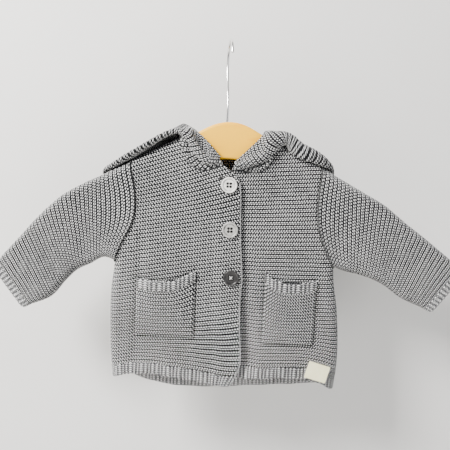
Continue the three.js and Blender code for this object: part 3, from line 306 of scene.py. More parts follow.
def knitted(name, grid, relief, uv, material, wrap=False, turned=1, thick=CLOTH, steer=None):
    """A closed cloth: a fine outside with its stitches raised, and a plain inside."""
    rows, cols = grid.shape[:2]
    normal = grid_normals(grid, wrap, turned)
    if steer is not None:
        normal = steer(normal)
        normal /= np.linalg.norm(normal, axis=2, keepdims=True)
    outside = grid + normal * relief[..., None]
    keep_rows = sorted({*range(0, rows - 1, INSIDE_EVERY), rows - 1})
    keep_cols = sorted({*range(0, cols - 1, INSIDE_EVERY), cols - 1})
    if wrap:
        keep_cols = list(range(0, cols, INSIDE_EVERY))
    kept_grid = np.ix_(keep_rows, keep_cols)
    inside = (grid - normal * thick)[kept_grid]
    points = np.concatenate([outside.reshape(-1, 3), inside.reshape(-1, 3)]) / 1000
    point_uv = np.concatenate([uv.reshape(-1, 2), uv[kept_grid].reshape(-1, 2)])
    index = np.arange(rows * cols).reshape(rows, cols)
    inner = rows * cols + np.arange(len(keep_rows) * len(keep_cols)).reshape(len(keep_rows), -1)
    if wrap:
        index = np.concatenate([index, index[:, :1]], axis=1)
        inner = np.concatenate([inner, inner[:, :1]], axis=1)
        keep_cols = keep_cols + [cols]
        uv = np.concatenate([uv, uv[:, :1] + uv_turn(uv)], axis=1)
    corners = (np.s_[:-1, :-1], np.s_[:-1, 1:], np.s_[1:, 1:], np.s_[1:, :-1])
    outer_faces = np.stack([index[corner] for corner in corners], axis=-1).reshape(-1, 4)
    corner_uv = np.stack([uv[corner] for corner in corners], axis=-2).reshape(-1, 4, 2)
    inner_faces = np.stack([inner[corners[k]] for k in (0, 3, 2, 1)], axis=-1).reshape(-1, 4)
    rim = [f[::-1] for f in border_strip(index[0], inner[0], keep_cols)]
    rim += border_strip(index[-1], inner[-1], keep_cols)
    if not wrap:
        rim += border_strip(index[:, 0], inner[:, 0], keep_rows)
        rim += [f[::-1] for f in border_strip(index[:, -1], inner[:, -1], keep_rows)]
    parts = [outer_faces, inner_faces, np.array(rim)]
    if turned < 0:
        parts = [part[:, ::-1] for part in parts]
        corner_uv = corner_uv[:, ::-1]
    mesh = bpy.data.meshes.new(name)
    mesh.from_pydata(points, [], [face for part in parts for face in part.tolist()])
    broad = len(outer_faces) + len(inner_faces)
    mesh.polygons.foreach_set("use_smooth", np.arange(len(mesh.polygons)) < broad)
    # The knitting's own measure: stitches across and ridges up
    rest = point_uv[np.concatenate([parts[1].ravel(), parts[2].ravel()])]
    layer = mesh.uv_layers.new(name="knit")
    layer.data.foreach_set("uv", np.concatenate([corner_uv.reshape(-1, 2), rest]).ravel())
    mesh.validate()
    mesh.materials.append(material)
    piece = laid_out(name, mesh)
    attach(piece, "root")
    return piece


# Garter stitch: how high in a ridge each of its two rows of loops lies, and its shift in stitches
GARTER_LOOPS = ((0.705, 0.0), (0.295, 0.5))
LOOP_LEAN = 0.32
LOOP_HIGH = 0.17


def garter(u, v):
    """Height of garter stitch: each ridge is two rows of yarn loops, half a stitch apart."""
    up = v - np.floor(v)
    slant = u + LOOP_LEAN * up
    height = 0.0
    for middle, shift in GARTER_LOOPS:
        beside = slant + shift
        beside = beside - np.round(beside)
        loop = np.exp(-((beside / 0.32) ** 2) - ((up - middle) / LOOP_HIGH) ** 2)
        height = np.maximum(height, loop)
    swell = 0.5 - 0.5 * np.cos(2 * math.pi * up)
    return 0.35 * swell + 0.8 * height - 0.55


def sewn_down(relief, off, sink, reach=2.2):
    """Stitches lie flatter, and a little deeper, near where they are sewn to the next piece."""
    return relief * eased(off / 3) - sink * (1 - eased(off / reach))


class Tone:
    """A value in a finish. Its sums read as plain sums, and each makes one maths node."""

    def __init__(self, tree, socket):
        self.tree, self.socket = tree, socket

    def to(self, socket):
        self.tree.links.new(self.socket, socket)

    def of(self, operation, *others):
        node = self.tree.nodes.new("ShaderNodeMath")
        node.operation = operation
        for value, socket in zip((self, *others), node.inputs):
            if isinstance(value, Tone):
                value.to(socket)
            else:
                socket.default_value = value
        return Tone(self.tree, node.outputs[0])

    def __add__(self, other):
        return self.of("ADD", other)

    def __sub__(self, other):
        return self.of("SUBTRACT", other)

    def __mul__(self, other):
        return self.of("MULTIPLY", other)

    def __pow__(self, other):
        return self.of("POWER", other)

    def __abs__(self):
        return self.of("ABSOLUTE")

    def waves(self, length=1.0, kind="SINE"):
        return (self * (2 * math.pi / length)).of(kind)


class Finish:
    """A material in the making, with the plain values of its shader's own sockets."""

    def __init__(self, name, **sockets):
        self.material = bpy.data.materials.new(name)
        self.material.use_nodes = True
        self.tree = self.material.node_tree
        self.shader = self.tree.nodes["Principled BSDF"]
        self.place = self.node("TexCoord").outputs["Object"]
        for socket, value in sockets.items():
            self.shader.inputs[socket].default_value = value

    def node(self, kind, **sockets):
        node = self.tree.nodes.new("ShaderNode" + kind)
        for socket, value in sockets.items():
            node.inputs[socket].default_value = value
        return node

    def noise(self, scale, detail=2.0, rough=0.5, over=None):
        node = self.node("TexNoise", Scale=scale, Detail=detail, Roughness=rough)
        self.tree.links.new(self.place if over is None else over, node.inputs["Vector"])
        return Tone(self.tree, node.outputs["Fac"])

    def parts(self, vector):
        node = self.node("SeparateXYZ")
        self.tree.links.new(vector, node.inputs[0])
        return [Tone(self.tree, part) for part in node.outputs]

    def coloured(self, tone, *steps):
        ramp = self.node("ValToRGB")
        elements = ramp.color_ramp.elements
        for place, colour in steps[2:]:
            elements.new(place)
        for element, (place, colour) in zip(sorted(elements, key=lambda e: e.position), sorted(steps)):
            element.position = place
            element.color = (*colour, 1)
        tone.to(ramp.inputs[0])
        self.tree.links.new(ramp.outputs[0], self.shader.inputs["Base Color"])

    def raised(self, height, strength, deep):
        bump = self.node("Bump", Strength=strength, Distance=deep)
        height.to(bump.inputs["Height"])
        self.tree.links.new(bump.outputs[0], self.shader.inputs["Normal"])


def heather_yarn(name, stitch):
    """Thick grey cotton yarn, spun from pale and dark fibres, in its stitches, with painted shade and
    highlight.
    """
    yarn = Finish(name, **{"Roughness": 0.9, "Specular IOR Level": 0.18, "Sheen Weight": 0.12,
                           "Sheen Roughness": 0.5})
    uv = yarn.node("UVMap")
    uv.uv_map = "knit"
    measure = uv.outputs[0]
    across, ridges, _ = yarn.parts(measure)
    if stitch == "garter":
        # Hand-spun unevenness: the stitches wander a little
        wander = yarn.noise(0.35, over=measure) - 0.5
        up = (ridges + wander * 0.12).of("FRACT")
        slant = across + up * LOOP_LEAN
        loops = []
        for middle, shift in GARTER_LOOPS:
            beside = (slant + shift).of("WRAP", -0.5, 0.5)
            side = abs(beside * (1 / 0.36)) ** 2.4
            rise = abs((up - middle - beside * -0.12) * (1 / LOOP_HIGH)) ** 2.2
            loops.append(((side + rise) * -1.0).of("EXPONENT"))
        height = loops[0].of("MAXIMUM", loops[1])
        strands = across * 2.6 + ridges * 5.5
    else:
        vee = abs(across.of("WRAP", -0.5, 0.5)) * 1.6
        height = across.waves(kind="COSINE") * 0.13 + (ridges + vee).waves() * 0.25 + 0.49
        strands = across * 3.0 + ridges * 3.0
    ply = (strands.waves() + 1.0) * 0.5
    fibre = yarn.noise(900.0, 3.0, 0.7)
    fleck = yarn.noise(2.3, 3.0, 0.75, over=measure)
    cloud = yarn.noise(14.0)
    # Painted shade and highlight: the tone follows the stitches' height, nearly black in the hollows
    # between loops and ribs and white on the loops' tops, mixed with the pale and dark fibres.
    painted_shade_and_fleck = height * 0.78 + ply * 0.08 + (fleck - 0.5) * 0.8
    yarn.coloured(painted_shade_and_fleck + (fibre - 0.5) * 0.3 + (cloud - 0.5) * 0.16,
                  (0.2, (0.003, 0.0035, 0.0045)), (0.7, (1.0, 0.995, 0.985)),
                  (0.39, (0.03, 0.031, 0.034)), (0.54, (0.34, 0.34, 0.342)))
    yarn.raised(height + ply * 0.14 + fibre * 0.2, 0.8, 0.0009)
    return yarn.material


garter_cloth = heather_yarn("garter_stitch_cotton", "garter")


def square_at_seams(grid, first, last):
    """The cut edges of a body panel are square to the panel that is sewn to them."""

    def steer(normal):
        flat = np.abs(grid[..., 1]) < 0.6
        edge = np.zeros(flat.shape, bool)
        edge[:, 0], edge[:, -1] = first, last
        seam = edge & flat
        seam[-1] |= flat[-1]
        normal[seam, 1] = 0
        return normal

    return steer


# How far the hems reach to the sides, and the height that the rows are counted from
HEM_ENDS = (-127, 143)
HEM_LEVEL = -386


def body_measure(grid, rise, hem):
    """The measure of a body panel. Its lowest rows follow the hem."""
    x, z = grid[..., 0], grid[..., 2]
    level = along(HEM[hem], np.clip(x, *HEM_ENDS)) - HEM_LEVEL
    level = (level if hem == "right" else level + 2) * eased((-z - 300) / 90)
    return np.stack([x / STITCH, (z - level - rise(x, z)) / RIDGE], axis=-1)


def right_rise(x, z):
    """Rows of the right front climb a little towards the neck."""
    return (x + 60) * (0.2 * eased((z + 390) / 110) + 0.13 * eased((z + 205) / 65))


def left_rise(x, z):
    return 5.0 * eased((z + 300) / 150) * ((x - 40) / 60)


def back_rise(x, z):
    return 0.0 * x


def front_edge(z):
    return along(FREE_EDGE, z)


def under_edge(z):
    return along(FREE_EDGE, z) - LAP


# x and height of the pockets' mouths, and the height of their lower edges
POCKET_TOP = {
    "right": [(-95, -268), (-77, -270.5), (-57, -270), (-43, -265), (-28, -256)],
    "left": [(51, -253.5), (60, -261.5), (73, -266), (89, -266), (110, -261.5)],
}
POCKET_BOTTOM = {"right": -335.5, "left": -339}
SLIP_STITCH = 2.4
# x, height, half width, half height and depth of the end of a buttonhole that shows
BUTTONHOLE = (-3.6, -150.8, 2.1, 1.5, 2.3)
# name, hem, sides, width, surface, rise of the rows, cut size and area
PANEL_CUTS = (
    ("back", "back", "right", "left", 262, back_y, back_rise, (0.27, 0.29), 0.0676),
    ("right_front", "right", "right", front_edge, 142, right_front_y, right_rise,
     (0.155, 0.27), 0.0345),
    ("left_front", "left", under_edge, "left", 145, left_front_y, left_rise,
     (0.155, 0.27), 0.0318),
)
PANELS = {}
for name, side, first, last, width, y, rise, cut, area in PANEL_CUTS:
    joined = isinstance(first, str), isinstance(last, str)
    columns = seam_steps(width, *(SIDE_ROUND * sewn for sewn in joined),
                         CELL * (1.25 if name == "back" else 1))
    grid = panel_points(HEM[side], NECKLINE[side], first, last, columns, y)
    if name == "back":
        # Its rows are seen less closely, and one in five is left out
        grid = grid[[i for i in range(len(grid) - 1) if i % 5 != 2] + [len(grid) - 1]]
    PANELS[name] = grid
    x, z = grid[..., 0], grid[..., 2]
    measure = body_measure(grid, rise, side)
    if name == "left_front":
        measure[..., 0] *= -1
    relief = garter(measure[..., 0], measure[..., 1])
    rows = np.arange(len(grid))[:, None] * CELL
    sewn = np.minimum(rows, (len(grid) - 1) * CELL - rows) * np.ones(x.shape)
    for edge, is_sewn in zip((grid[:, :1], grid[:, -1:]), joined):
        if is_sewn:
            sewn = np.minimum(sewn, np.linalg.norm(grid - edge, axis=2))
    relief = sewn_down(relief, sewn, 0.9)
    if side in POCKET_TOP:
        # The cloth sinks where a pocket's mouth pulls on it, and along the pocket's seams
        mouth, bottom = POCKET_TOP[side], POCKET_BOTTOM[side]
        left_x, right_x = mouth[0][0], mouth[-1][0]
        behind = eased((x - left_x + 3) / 4) * eased((right_x + 3 - x) / 4)
        off = z - along(mouth, np.clip(x, left_x, right_x)) - 0.4
        aside = np.minimum(np.abs(x - left_x + 0.7), np.abs(x - right_x - 0.7))
        relief = relief - 1.5 * behind * dip(off, 1.5)
        relief = relief - 1.4 * ((off < 0) & (z > bottom)) * dip(aside, 1.2)
        relief = relief - 1.1 * behind * dip(z - bottom + 0.7, 1.2)
    if name == "right_front":
        # A slipped stitch edge runs down the opening, and a buttonhole shows beside its button, sunk
        # and painted with the stitches' darkest shade
        slipped = 1 - eased((front_edge(z) - x - 1.0) / 0.7)
        relief = mix(relief, 0.3 + 0.2 * np.sin(2 * math.pi * z / SLIP_STITCH), slipped)
        on_edge = slipped > 0.5
        measure[on_edge] = np.stack([0 * z[on_edge] + 0.02, 0.57 + z[on_edge] / 40 % 0.08], axis=-1)
        hole_x, hole_z, wide, high, deep = BUTTONHOLE
        sunk_and_shaded = dip(x - hole_x, wide) * dip(z - hole_z, high)
        relief = relief - deep * sunk_and_shaded
        # Painted shade: the buttonhole takes the nearly black tone of the hollows between the stitches
        measure[sunk_and_shaded > 0.4] = (0.5, 0.0)
    piece = knitted(name + "_cloth", grid, relief, measure, garter_cloth,
                    turned=-1 if name == "back" else 1, steer=square_at_seams(grid, *joined))
    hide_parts(name)

# The hem ribs: one by one rib in the same yarn, knitted down from the body's lower edge. They
# draw the edge in a little, and the back's hangs lower than the fronts'.
HEM_PITCH = 4.4
RIB_DEPTH = 0.9
RIB_ROW = 2.6
POINTS_A_RIB = 7
rib_cloth = heather_yarn("rib_stitch_cotton", "rib")


def way_along(line):
    """How far each point of a line is from the line's start."""
    return np.concatenate([[0], np.cumsum(np.linalg.norm(np.diff(line, axis=0), axis=1))])


def even_points(line, count, closed=False):
    """Points an even way apart along a line, and the line's length."""
    line = np.concatenate([line, line[:1]]) if closed else line
    way = way_along(line)
    at = np.linspace(0, way[-1], count + 1)
    at = at[:-1] if closed else at
    return np.stack([np.interp(at, way, line[:, k]) for k in range(3)], axis=-1), way[-1]


def band(foot, top, height, cell=1.0):
    steps = np.linspace(0, 1, max(6, int(height / cell)))[:, None, None]
    return foot[None] * (1 - steps) + top[None] * steps


def uneven_ribs(place):
    """Ribs counted along a band, some a little wider than others."""
    return place + 0.11 * np.sin(place * 1.9 + 0.6) + 0.07 * np.sin(place * 4.3)


def ribbed(name, grid, counted, up, dips, taut=1.0, **how):
    """A band of rounded knit ribs between sunk purl ones. Its two edges dip a little."""
    measure = np.stack(np.broadcast_arrays(counted[None, :], up / RIB_ROW), axis=-1)
    u, v = measure[..., 0], measure[..., 1]
    loops = 0.16 * np.sin(2 * math.pi * (v + 0.8 * np.abs(u - np.round(u))))
    pulled = 0.85 + 0.15 * np.sin(u * 0.83 + 1.2)
    hollow = 0.5 * np.cos(2 * math.pi * u) - 0.5
    relief = (RIB_DEPTH * pulled * hollow * 1.15 + loops) * taut
    relief[0] -= dips[0]
    relief[-1] -= dips[1]
    piece = knitted(name, grid, relief, measure, rib_cloth, **how)
    return piece


def nearest_side(x, z):
    return np.where(x < 0, along(SIDE_SEAM["right"], z), along(SIDE_SEAM["left"], z))


for name, side, *_, y, _, _, _ in PANEL_CUTS:
    edge = PANELS[name][0]
    length = even_points(edge, 10)[1]
    ribs = round(length / HEM_PITCH)
    top = even_points(edge, ribs * POINTS_A_RIB)[0] - [0, 0, SEAM]
    x, z = top[:, 0], along(HEM[side], top[:, 0])
    seam = nearest_side(x, top[:, 2])
    low_seam = nearest_side(x, z)
    corner = (front_edge(z) - front_edge(top[:, 2])) * (name == "right_front")
    corner = corner * eased(1 - (front_edge(top[:, 2]) - x) / 30)
    x = x + (low_seam - seam) * eased(1 - np.abs(x - seam) / 30) + corner
    foot = np.stack([x, np.where(np.abs(top[:, 1]) < 1, top[:, 1], y(x, z)), z], axis=-1)
    # The bound-off edge rises and falls a little from rib to rib
    place = np.linspace(0, ribs, len(x))
    foot[:, 2] += 0.5 * np.cos(2 * math.pi * place) - 0.5
    grid = band(foot, top, HEM_BAND)
    flat_sides = np.abs(grid[..., 1]) < 1

    def steer(normal, flat_sides=flat_sides):
        normal[flat_sides, 1] = 0
        return normal

    piece = ribbed(name + "_hem", grid, uneven_ribs(place), grid[..., 2], (0.8, 0.5),
                   turned=-1 if name == "back" else 1, steer=steer)
    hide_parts(name + "_hem_rib")
    name + "_cloth"

# The sleeves: knitted in garter stitch and joined into tubes by one seam underneath, then
# sewn into the armholes. Their ridges run round the arm. Each ends in a ribbed cuff.
CUFF_RIBS = 30
CUFF_BAND = 11
SLEEVE_LENGTH = 168
# topX, topZ, underX, underZ, depth from the armhole to the cuff's end
SLEEVE = {
    "right": [(-107, -136.8, -123, -252, 15), (-135, -151.6, -136, -249, 15),
              (-160, -164, -152, -258, 14.5), (-186, -179.5, -167, -266, 14),
              (-211, -203, -181, -280, 13), (-233, -228, -197, -299, 12),
              (-258, -256.5, -220, -309.5, 10.5), (-265.5, -264.5, -228.5, -314.5, 10)],
    "left": [(109, -133.6, 131, -248, 15), (135, -147.4, 144, -252.5, 15),
             (161, -161, 160, -256, 14.5), (185, -174, 176, -260.5, 14),
             (211, -193.5, 192, -268, 13), (240, -214, 212, -281.5, 12),
             (275, -240.5, 238.5, -292.5, 10.5), (283.5, -247.5, 247.5, -297.5, 10)],
}
SLEEVE_UNDER = 0.11
SLEEVE_TOP = 0.09
# along, width, from, to, height
SLEEVE_CREASES = {
    "right": [(0.3, 0.05, 0.02, 0.55, -2), (0.43, 0.05, 0.05, 0.5, 1.6),
              (0.62, 0.05, 0.1, 0.6, -1.5), (0.16, 0.04, 0.3, 0.75, 0.8),
              (0.52, 0.04, 0.05, 0.4, 0.9), (0.8, 0.04, 0.2, 0.6, -0.8)],
    "left": [(0.12, 0.05, 0.05, 0.5, -2), (0.34, 0.06, 0.1, 0.6, 1.5),
             (0.55, 0.05, 0.05, 0.5, -1.5), (0.22, 0.04, 0.35, 0.8, 0.8),
             (0.44, 0.04, 0.05, 0.4, -0.8), (0.75, 0.05, 0.1, 0.5, 0.8)],
}


def at_station(rows, at):
    """A table's rows as evenly spaced stations, at any place between them."""
    rows = np.array(rows, float)
    i = int(min(math.floor(at), len(rows) - 2))
    t = at - i
    p0, p1, p2 = rows[max(i - 1, 0)], rows[i], rows[i + 1]
    p3 = rows[min(i + 2, len(rows) - 1)]
    bend = 2 * p0 - 5 * p1 + 4 * p2 - p3 + t * (3 * (p1 - p2) + p3 - p0)
    return p1 + 0.5 * t * (p2 - p0 + t * bend)


def sleeve_ring(side, station, seam_x, seam_z):
    sign, front_y = (-1, right_front_y) if side == "right" else (1, left_front_y)
    top_x, top_z, under_x, under_z, depth = at_station(SLEEVE[side], station)
    whole = station / (len(SLEEVE[side]) - 1)
    share = (seam_z - seam_z[0]) / (seam_z[-1] - seam_z[0])
    bow = seam_x - mix(seam_x[0], seam_x[-1], share)
    x = mix(under_x, top_x, share) + bow * (1 - eased(station / 1.6))
    z = mix(under_z, top_z, share)
    first = eased(1 - station / 2)
    halves = []
    for front in (True, False):
        seam_depth = -front_y(seam_x, seam_z) if front else back_y(seam_x, seam_z)
        tube = depth * rounded(share / SLEEVE_UNDER) * rounded((1 - share) / SLEEVE_TOP)
        out = mix(tube, seam_depth, first)
        for middle, width, start, end, height in SLEEVE_CREASES[side]:
            near = dip(whole - middle - 0.1 * (share - 0.3), width)
            out = out + height * near * eased((share - start) / 0.15) * eased((end - share) / 0.15)
        out[0] = out[-1] = 0
        half = np.stack([x, -out if front else out, z], axis=-1)
        halves.append(half if front else half[-2:0:-1])
    ring = np.concatenate(halves)
    return ring + [(SEAM + 0.3) * sign if station == 0 else 0, 0, 0]


for side in ("right", "left"):
    turned = 1 if side == "right" else -1
    _, seam_z, pit = SIDES[side]
    height = seam_z[-1] - seam_z[pit]
    spots = seam_steps(height, SHOULDER_ROUND + 2, SHOULDER_ROUND + 2, CELL * 1.12)
    fine_z = seam_z[pit] + spots * height
    fine_x = along(ARMHOLE[side], fine_z)
    stations = np.linspace(0, 6, int(SLEEVE_LENGTH / CELL / 1.05))
    rings = np.array([sleeve_ring(side, s, fine_x, fine_z) for s in stations])
    way = way_along(rings.mean(axis=1))
    middle_ring = rings[len(rings) // 2]
    girth = np.linalg.norm(middle_ring - np.roll(middle_ring, -1, axis=0), axis=1)
    around = np.concatenate([[0], np.cumsum(girth)])
    around = around[:-1] / around[-1] * round(around[-1] / STITCH)
    # Ridges keep their distance from the armhole and bend to the cuff
    measure = np.stack(np.broadcast_arrays(around[None, :], way[:, None] / RIDGE), axis=-1)
    relief = garter(measure[..., 0], measure[..., 1])
    sewn = np.minimum(way, way[-1] - way)[:, None] * np.ones(relief.shape)
    under = np.minimum(np.arange(rings.shape[1]), rings.shape[1] - np.arange(rings.shape[1]))
    relief = sewn_down(relief, np.minimum(sewn, under[None, :] * CELL + 0.6), 0.9)

    def steer(normal):
        normal[0, :, 0] = 0
        return normal

    piece = knitted(side + "_sleeve_cloth", rings, relief, measure, garter_cloth, wrap=True,
                    turned=turned, steer=steer)
    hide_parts(side + "_sleeve")

    end = sleeve_ring(side, 7, fine_x, fine_z)
    outward = end.mean(axis=0) - rings[-1].mean(axis=0)
    outward = outward / np.linalg.norm(outward)
    foot, length = even_points(rings[-1] + outward * SEAM, CUFF_RIBS * 8, closed=True)
    top, _ = even_points(end, CUFF_RIBS * 8, closed=True)
    place = np.arange(CUFF_RIBS * 8) / 8
    top = top + outward * (0.4 * np.cos(2 * math.pi * place) - 0.4)[:, None]
    grid = band(foot, top, CUFF_BAND)
    piece = ribbed(side + "_cuff", grid, place, np.linspace(0, CUFF_BAND, len(grid))[:, None],
                   (0.5, 0.8), wrap=True, turned=turned)
    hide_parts(side + "_cuff_rib")

# The patch pockets: small garter stitch squares with a ribbed top, knitted apart and sewn on
# round three sides. Their mouths dip in the middle where hands have pulled them.
POCKET_CLOTH = 2.4
POCKET_HIGH = 60
POCKET_BULGE = 2.4
POCKET_BAND = 11.5
POCKET_PITCH = 5.3


def pocket_points(side, x, z):
    y = right_front_y if side == "right" else left_front_y
    first, last = POCKET_TOP[side][0][0], POCKET_TOP[side][-1][0]
    inner = np.minimum(x - first, last - x) / 14
    lift = POCKET_BULGE * eased(inner) * eased((z - POCKET_BOTTOM[side]) / 25)
    panel_y = np.minimum(np.minimum(y(x - 6, z), y(x, z)), y(x + 6, z))
    return np.stack([x, panel_y - SEAM - 0.3 - POCKET_CLOTH - lift, z], axis=-1)


def face_out(normal):
    normal[...] = (0, -1, 0)
    return normal


for side in ("right", "left"):
    rows = POCKET_TOP[side]
    first, last, bottom = rows[0][0], rows[-1][0], POCKET_BOTTOM[side]
    x = np.linspace(first, last, int((last - first) / CELL))[None, :]
    high = along(rows, x) - POCKET_BAND - SEAM
    z = bottom + (high - bottom) * np.linspace(0, 1, int(POCKET_HIGH / CELL))[:, None]
    grid = pocket_points(side, x + 0 * z, z)
    # Its rows dip with the mouth and level out towards the bottom
    sag = (along(rows, x) - along(rows, first)) * ((z - bottom) / (high - bottom)) ** 1.5
    measure = np.stack([(x + 0 * z) / STITCH, (z - sag) / RIDGE + 0.45], axis=-1)
    relief = garter(measure[..., 0], measure[..., 1])
    sewn = np.minimum(np.minimum(x - first, last - x), z - bottom)
    relief = sewn_down(relief, sewn, 1.4, 2.5)
    if side == "right":
        # A crease leans down its outer half
        relief = relief - 1.5 * dip(x + 84 + (z + 300) / 12, 5) * eased((z - bottom) / 12)
    piece = knitted(side + "_pocket_cloth", grid, relief, measure, garter_cloth,
                    thick=POCKET_CLOTH, steer=face_out)
    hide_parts(side + "_pocket")
    (last - first) / 1000

    length = even_points(grid[-1], 10)[1]
    ribs = round(length / POCKET_PITCH)
    foot, _ = even_points(grid[-1], ribs * 8)
    foot = pocket_points(side, foot[:, 0], foot[:, 2] + SEAM)
    place = np.linspace(0, ribs, len(foot))
    lift = 0.5 * np.cos(2 * math.pi * place) - 0.5
    grid = band(foot, pocket_points(side, foot[:, 0], along(rows, foot[:, 0]) + lift), POCKET_BAND)
    # The outer half of the right pocket's band is stretched, which flattens its ribs
    taut = 0.55 + 0.45 * eased(place / ribs * 1.8 - 0.2) if side == "right" else 0.85
    piece = ribbed(side + "_pocket_band", grid, uneven_ribs(place), grid[..., 2], (0.4, 0.7), taut,
                   thick=POCKET_CLOTH, steer=face_out)
    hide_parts(side + "_pocket_rib")

# The hood: two garter stitch halves joined down the middle of the back. It is thrown back, so
# that each half turns out from the neck seam, folds, and comes back to its face edge.
# seam place, turn, fold x, y, z, radius, edge x, y, z for each strip from the front corner
HOOD = {
    "right": [(0, 20, -5, -17.6, -131.5, 2.9, -5, -13.5, -127),
              (0.16, 40, -20, -21, -135, 5, -20, -11, -111),
              (0.44, 40, -37, -21, -113, 3.6, -37, -5, -97),
              (0.515, 70, -59, -21, -101.5, 2.8, -49, 1, -91.5),
              (0.64, 120, -98, -18, -122, 2.8, -50, 13, -97),
              (0.76, 150, -134, -5, -145.6, 3, -46, 22, -110),
              (0.86, 165, -142, 20, -164, 5, -38, 29, -128),
              (0.94, 175, -108, 23, -232, 6, -22, 34, -150),
              (1, 180, -0.15, 24, -274, 7, -0.15, 36, -163)],
    "left": [(0, 20, 10, -17.6, -137.5, 2.9, 10, -13.5, -132),
             (0.18, 40, 22, -20, -135.5, 4.5, 21, -11, -121),
             (0.36, 40, 46, -20.5, -126, 6, 38, -9, -104),
             (0.5, 50, 66, -21, -106, 8.5, 46, 1, -98),
             (0.64, 120, 90, -22, -118, 9, 50, 13, -100),
             (0.76, 150, 117, -8, -130, 6.5, 46, 22, -111),
             (0.86, 165, 128, 21, -152, 5.5, 38, 29, -128),
             (0.94, 175, 102, 23, -230, 6, 22, 34, -150),
             (1, 180, 0.15, 24, -274, 7, 0.15, 36, -163)],
}
HOOD_CORNER = {"right": -3, "left": 9}
# How far the halves start above the neckline, and how tightly they bend there
HOOD_EASE = 0.5
HOOD_BEND = 1.7
# How far off the body the lower and upper layers, the edge and the fold lie
HOOD_CLEAR = 2.2
HOOD_UPPER = 9
HOOD_EDGE = 5.5
HOOD_HELD = 3.2
# Points in the bend, the lower layer, the fold and the upper layer of a strip
HOOD_TURN = 6
HOOD_UNDER = 30
HOOD_FOLD = 14
HOOD_OVER = 24
HOOD_STRIPS = 180
HOOD_LENGTH = 150
# The ridges' slant at the neck's front, how far round it fades, and how soon they turn across
HOOD_SLANT = math.radians(62)
HOOD_SLANT_ENDS = 130
HOOD_TURNED = 22
# How far round the neck the first rows roll up, and the way over which the roll fades
HOOD_ROLL_ENDS = 62
HOOD_ROLL_FADES = 25
HOOD_SEAM_SUNK = 1.6
# The way along the cloth over a quarter turn of the shoulder
QUARTER = 19


def unit(v):
    return v / max(np.linalg.norm(v), 1e-9)


def neck_seam(side, place):
    sign = -1 if side == "right" else 1
    on_front = place < 0.5
    corner = HOOD_CORNER[side] if on_front else sign * SEAM * 0.5
    x = mix(corner, NECK_POINT[side], 1 - abs(place - 0.5) * 2)
    edge = PANELS[side + "_front" if on_front else "back"][-1]
    k = int(np.clip(np.searchsorted(edge[:, 0], x) - 1, 0, len(edge) - 2))
    share = (x - edge[k, 0]) / (edge[k + 1, 0] - edge[k, 0])
    start = mix(edge[k], edge[k + 1], share)
    ends = edge[max(k - 2, 0)], edge[min(k + 3, len(edge) - 1)]
    rise = unit(np.array([ends[0][2] - ends[1][2], 0, ends[1][0] - ends[0][0]]))
    return start + rise * (SEAM + HOOD_EASE), rise


def deep_at(z):
    return np.maximum(along(HALF_DEPTH, z), 15)


def over_shoulder(p):
    """A place by its way over the shoulder (front below 0) and how far off it lies."""
    centre = shoulder_line(p[0]) - SHOULDER_ROUND
    deep = deep_at(p[2])
    if p[2] <= centre:
        return p[0], math.copysign(QUARTER + centre - p[2], p[1]), abs(p[1]) - deep
    across, above = p[1] / deep, (p[2] - centre) / SHOULDER_ROUND
    over = math.atan2(across, above) / (math.pi / 2) * QUARTER
    return p[0], over, (math.hypot(across, above) - 1) * SHOULDER_ROUND


def off_shoulder(x, over, clear):
    centre = float(shoulder_line(x)) - SHOULDER_ROUND
    past = abs(over) - QUARTER
    if past > 0:
        return np.array([x, math.copysign(deep_at(centre - past) + clear, over), centre - past])
    angle = over / QUARTER * math.pi / 2
    scale = 1 + clear / SHOULDER_ROUND
    z = centre + SHOULDER_ROUND * scale * math.cos(angle)
    return np.array([x, deep_at(z) * scale * math.sin(angle), z])


def kept(p, least):
    x, over, clear = over_shoulder(p)
    return off_shoulder(x, over, least) if clear < least else p


def around_shoulder(a, b, t, least):
    start, end = over_shoulder(a), over_shoulder(b)
    clear = max(mix(start[2], end[2], t), least)
    return off_shoulder(mix(start[0], end[0], t), mix(start[1], end[1], t), clear)


def path(a, leave, b, reach, t):
    """A smooth way that leaves one point and reaches another in given directions."""
    span = np.linalg.norm(b - a)
    end = t * t * (3 - 2 * t)
    return mix(a, b, end) + leave * span * t * (1 - t) ** 2 - reach * span * t * t * (1 - t)


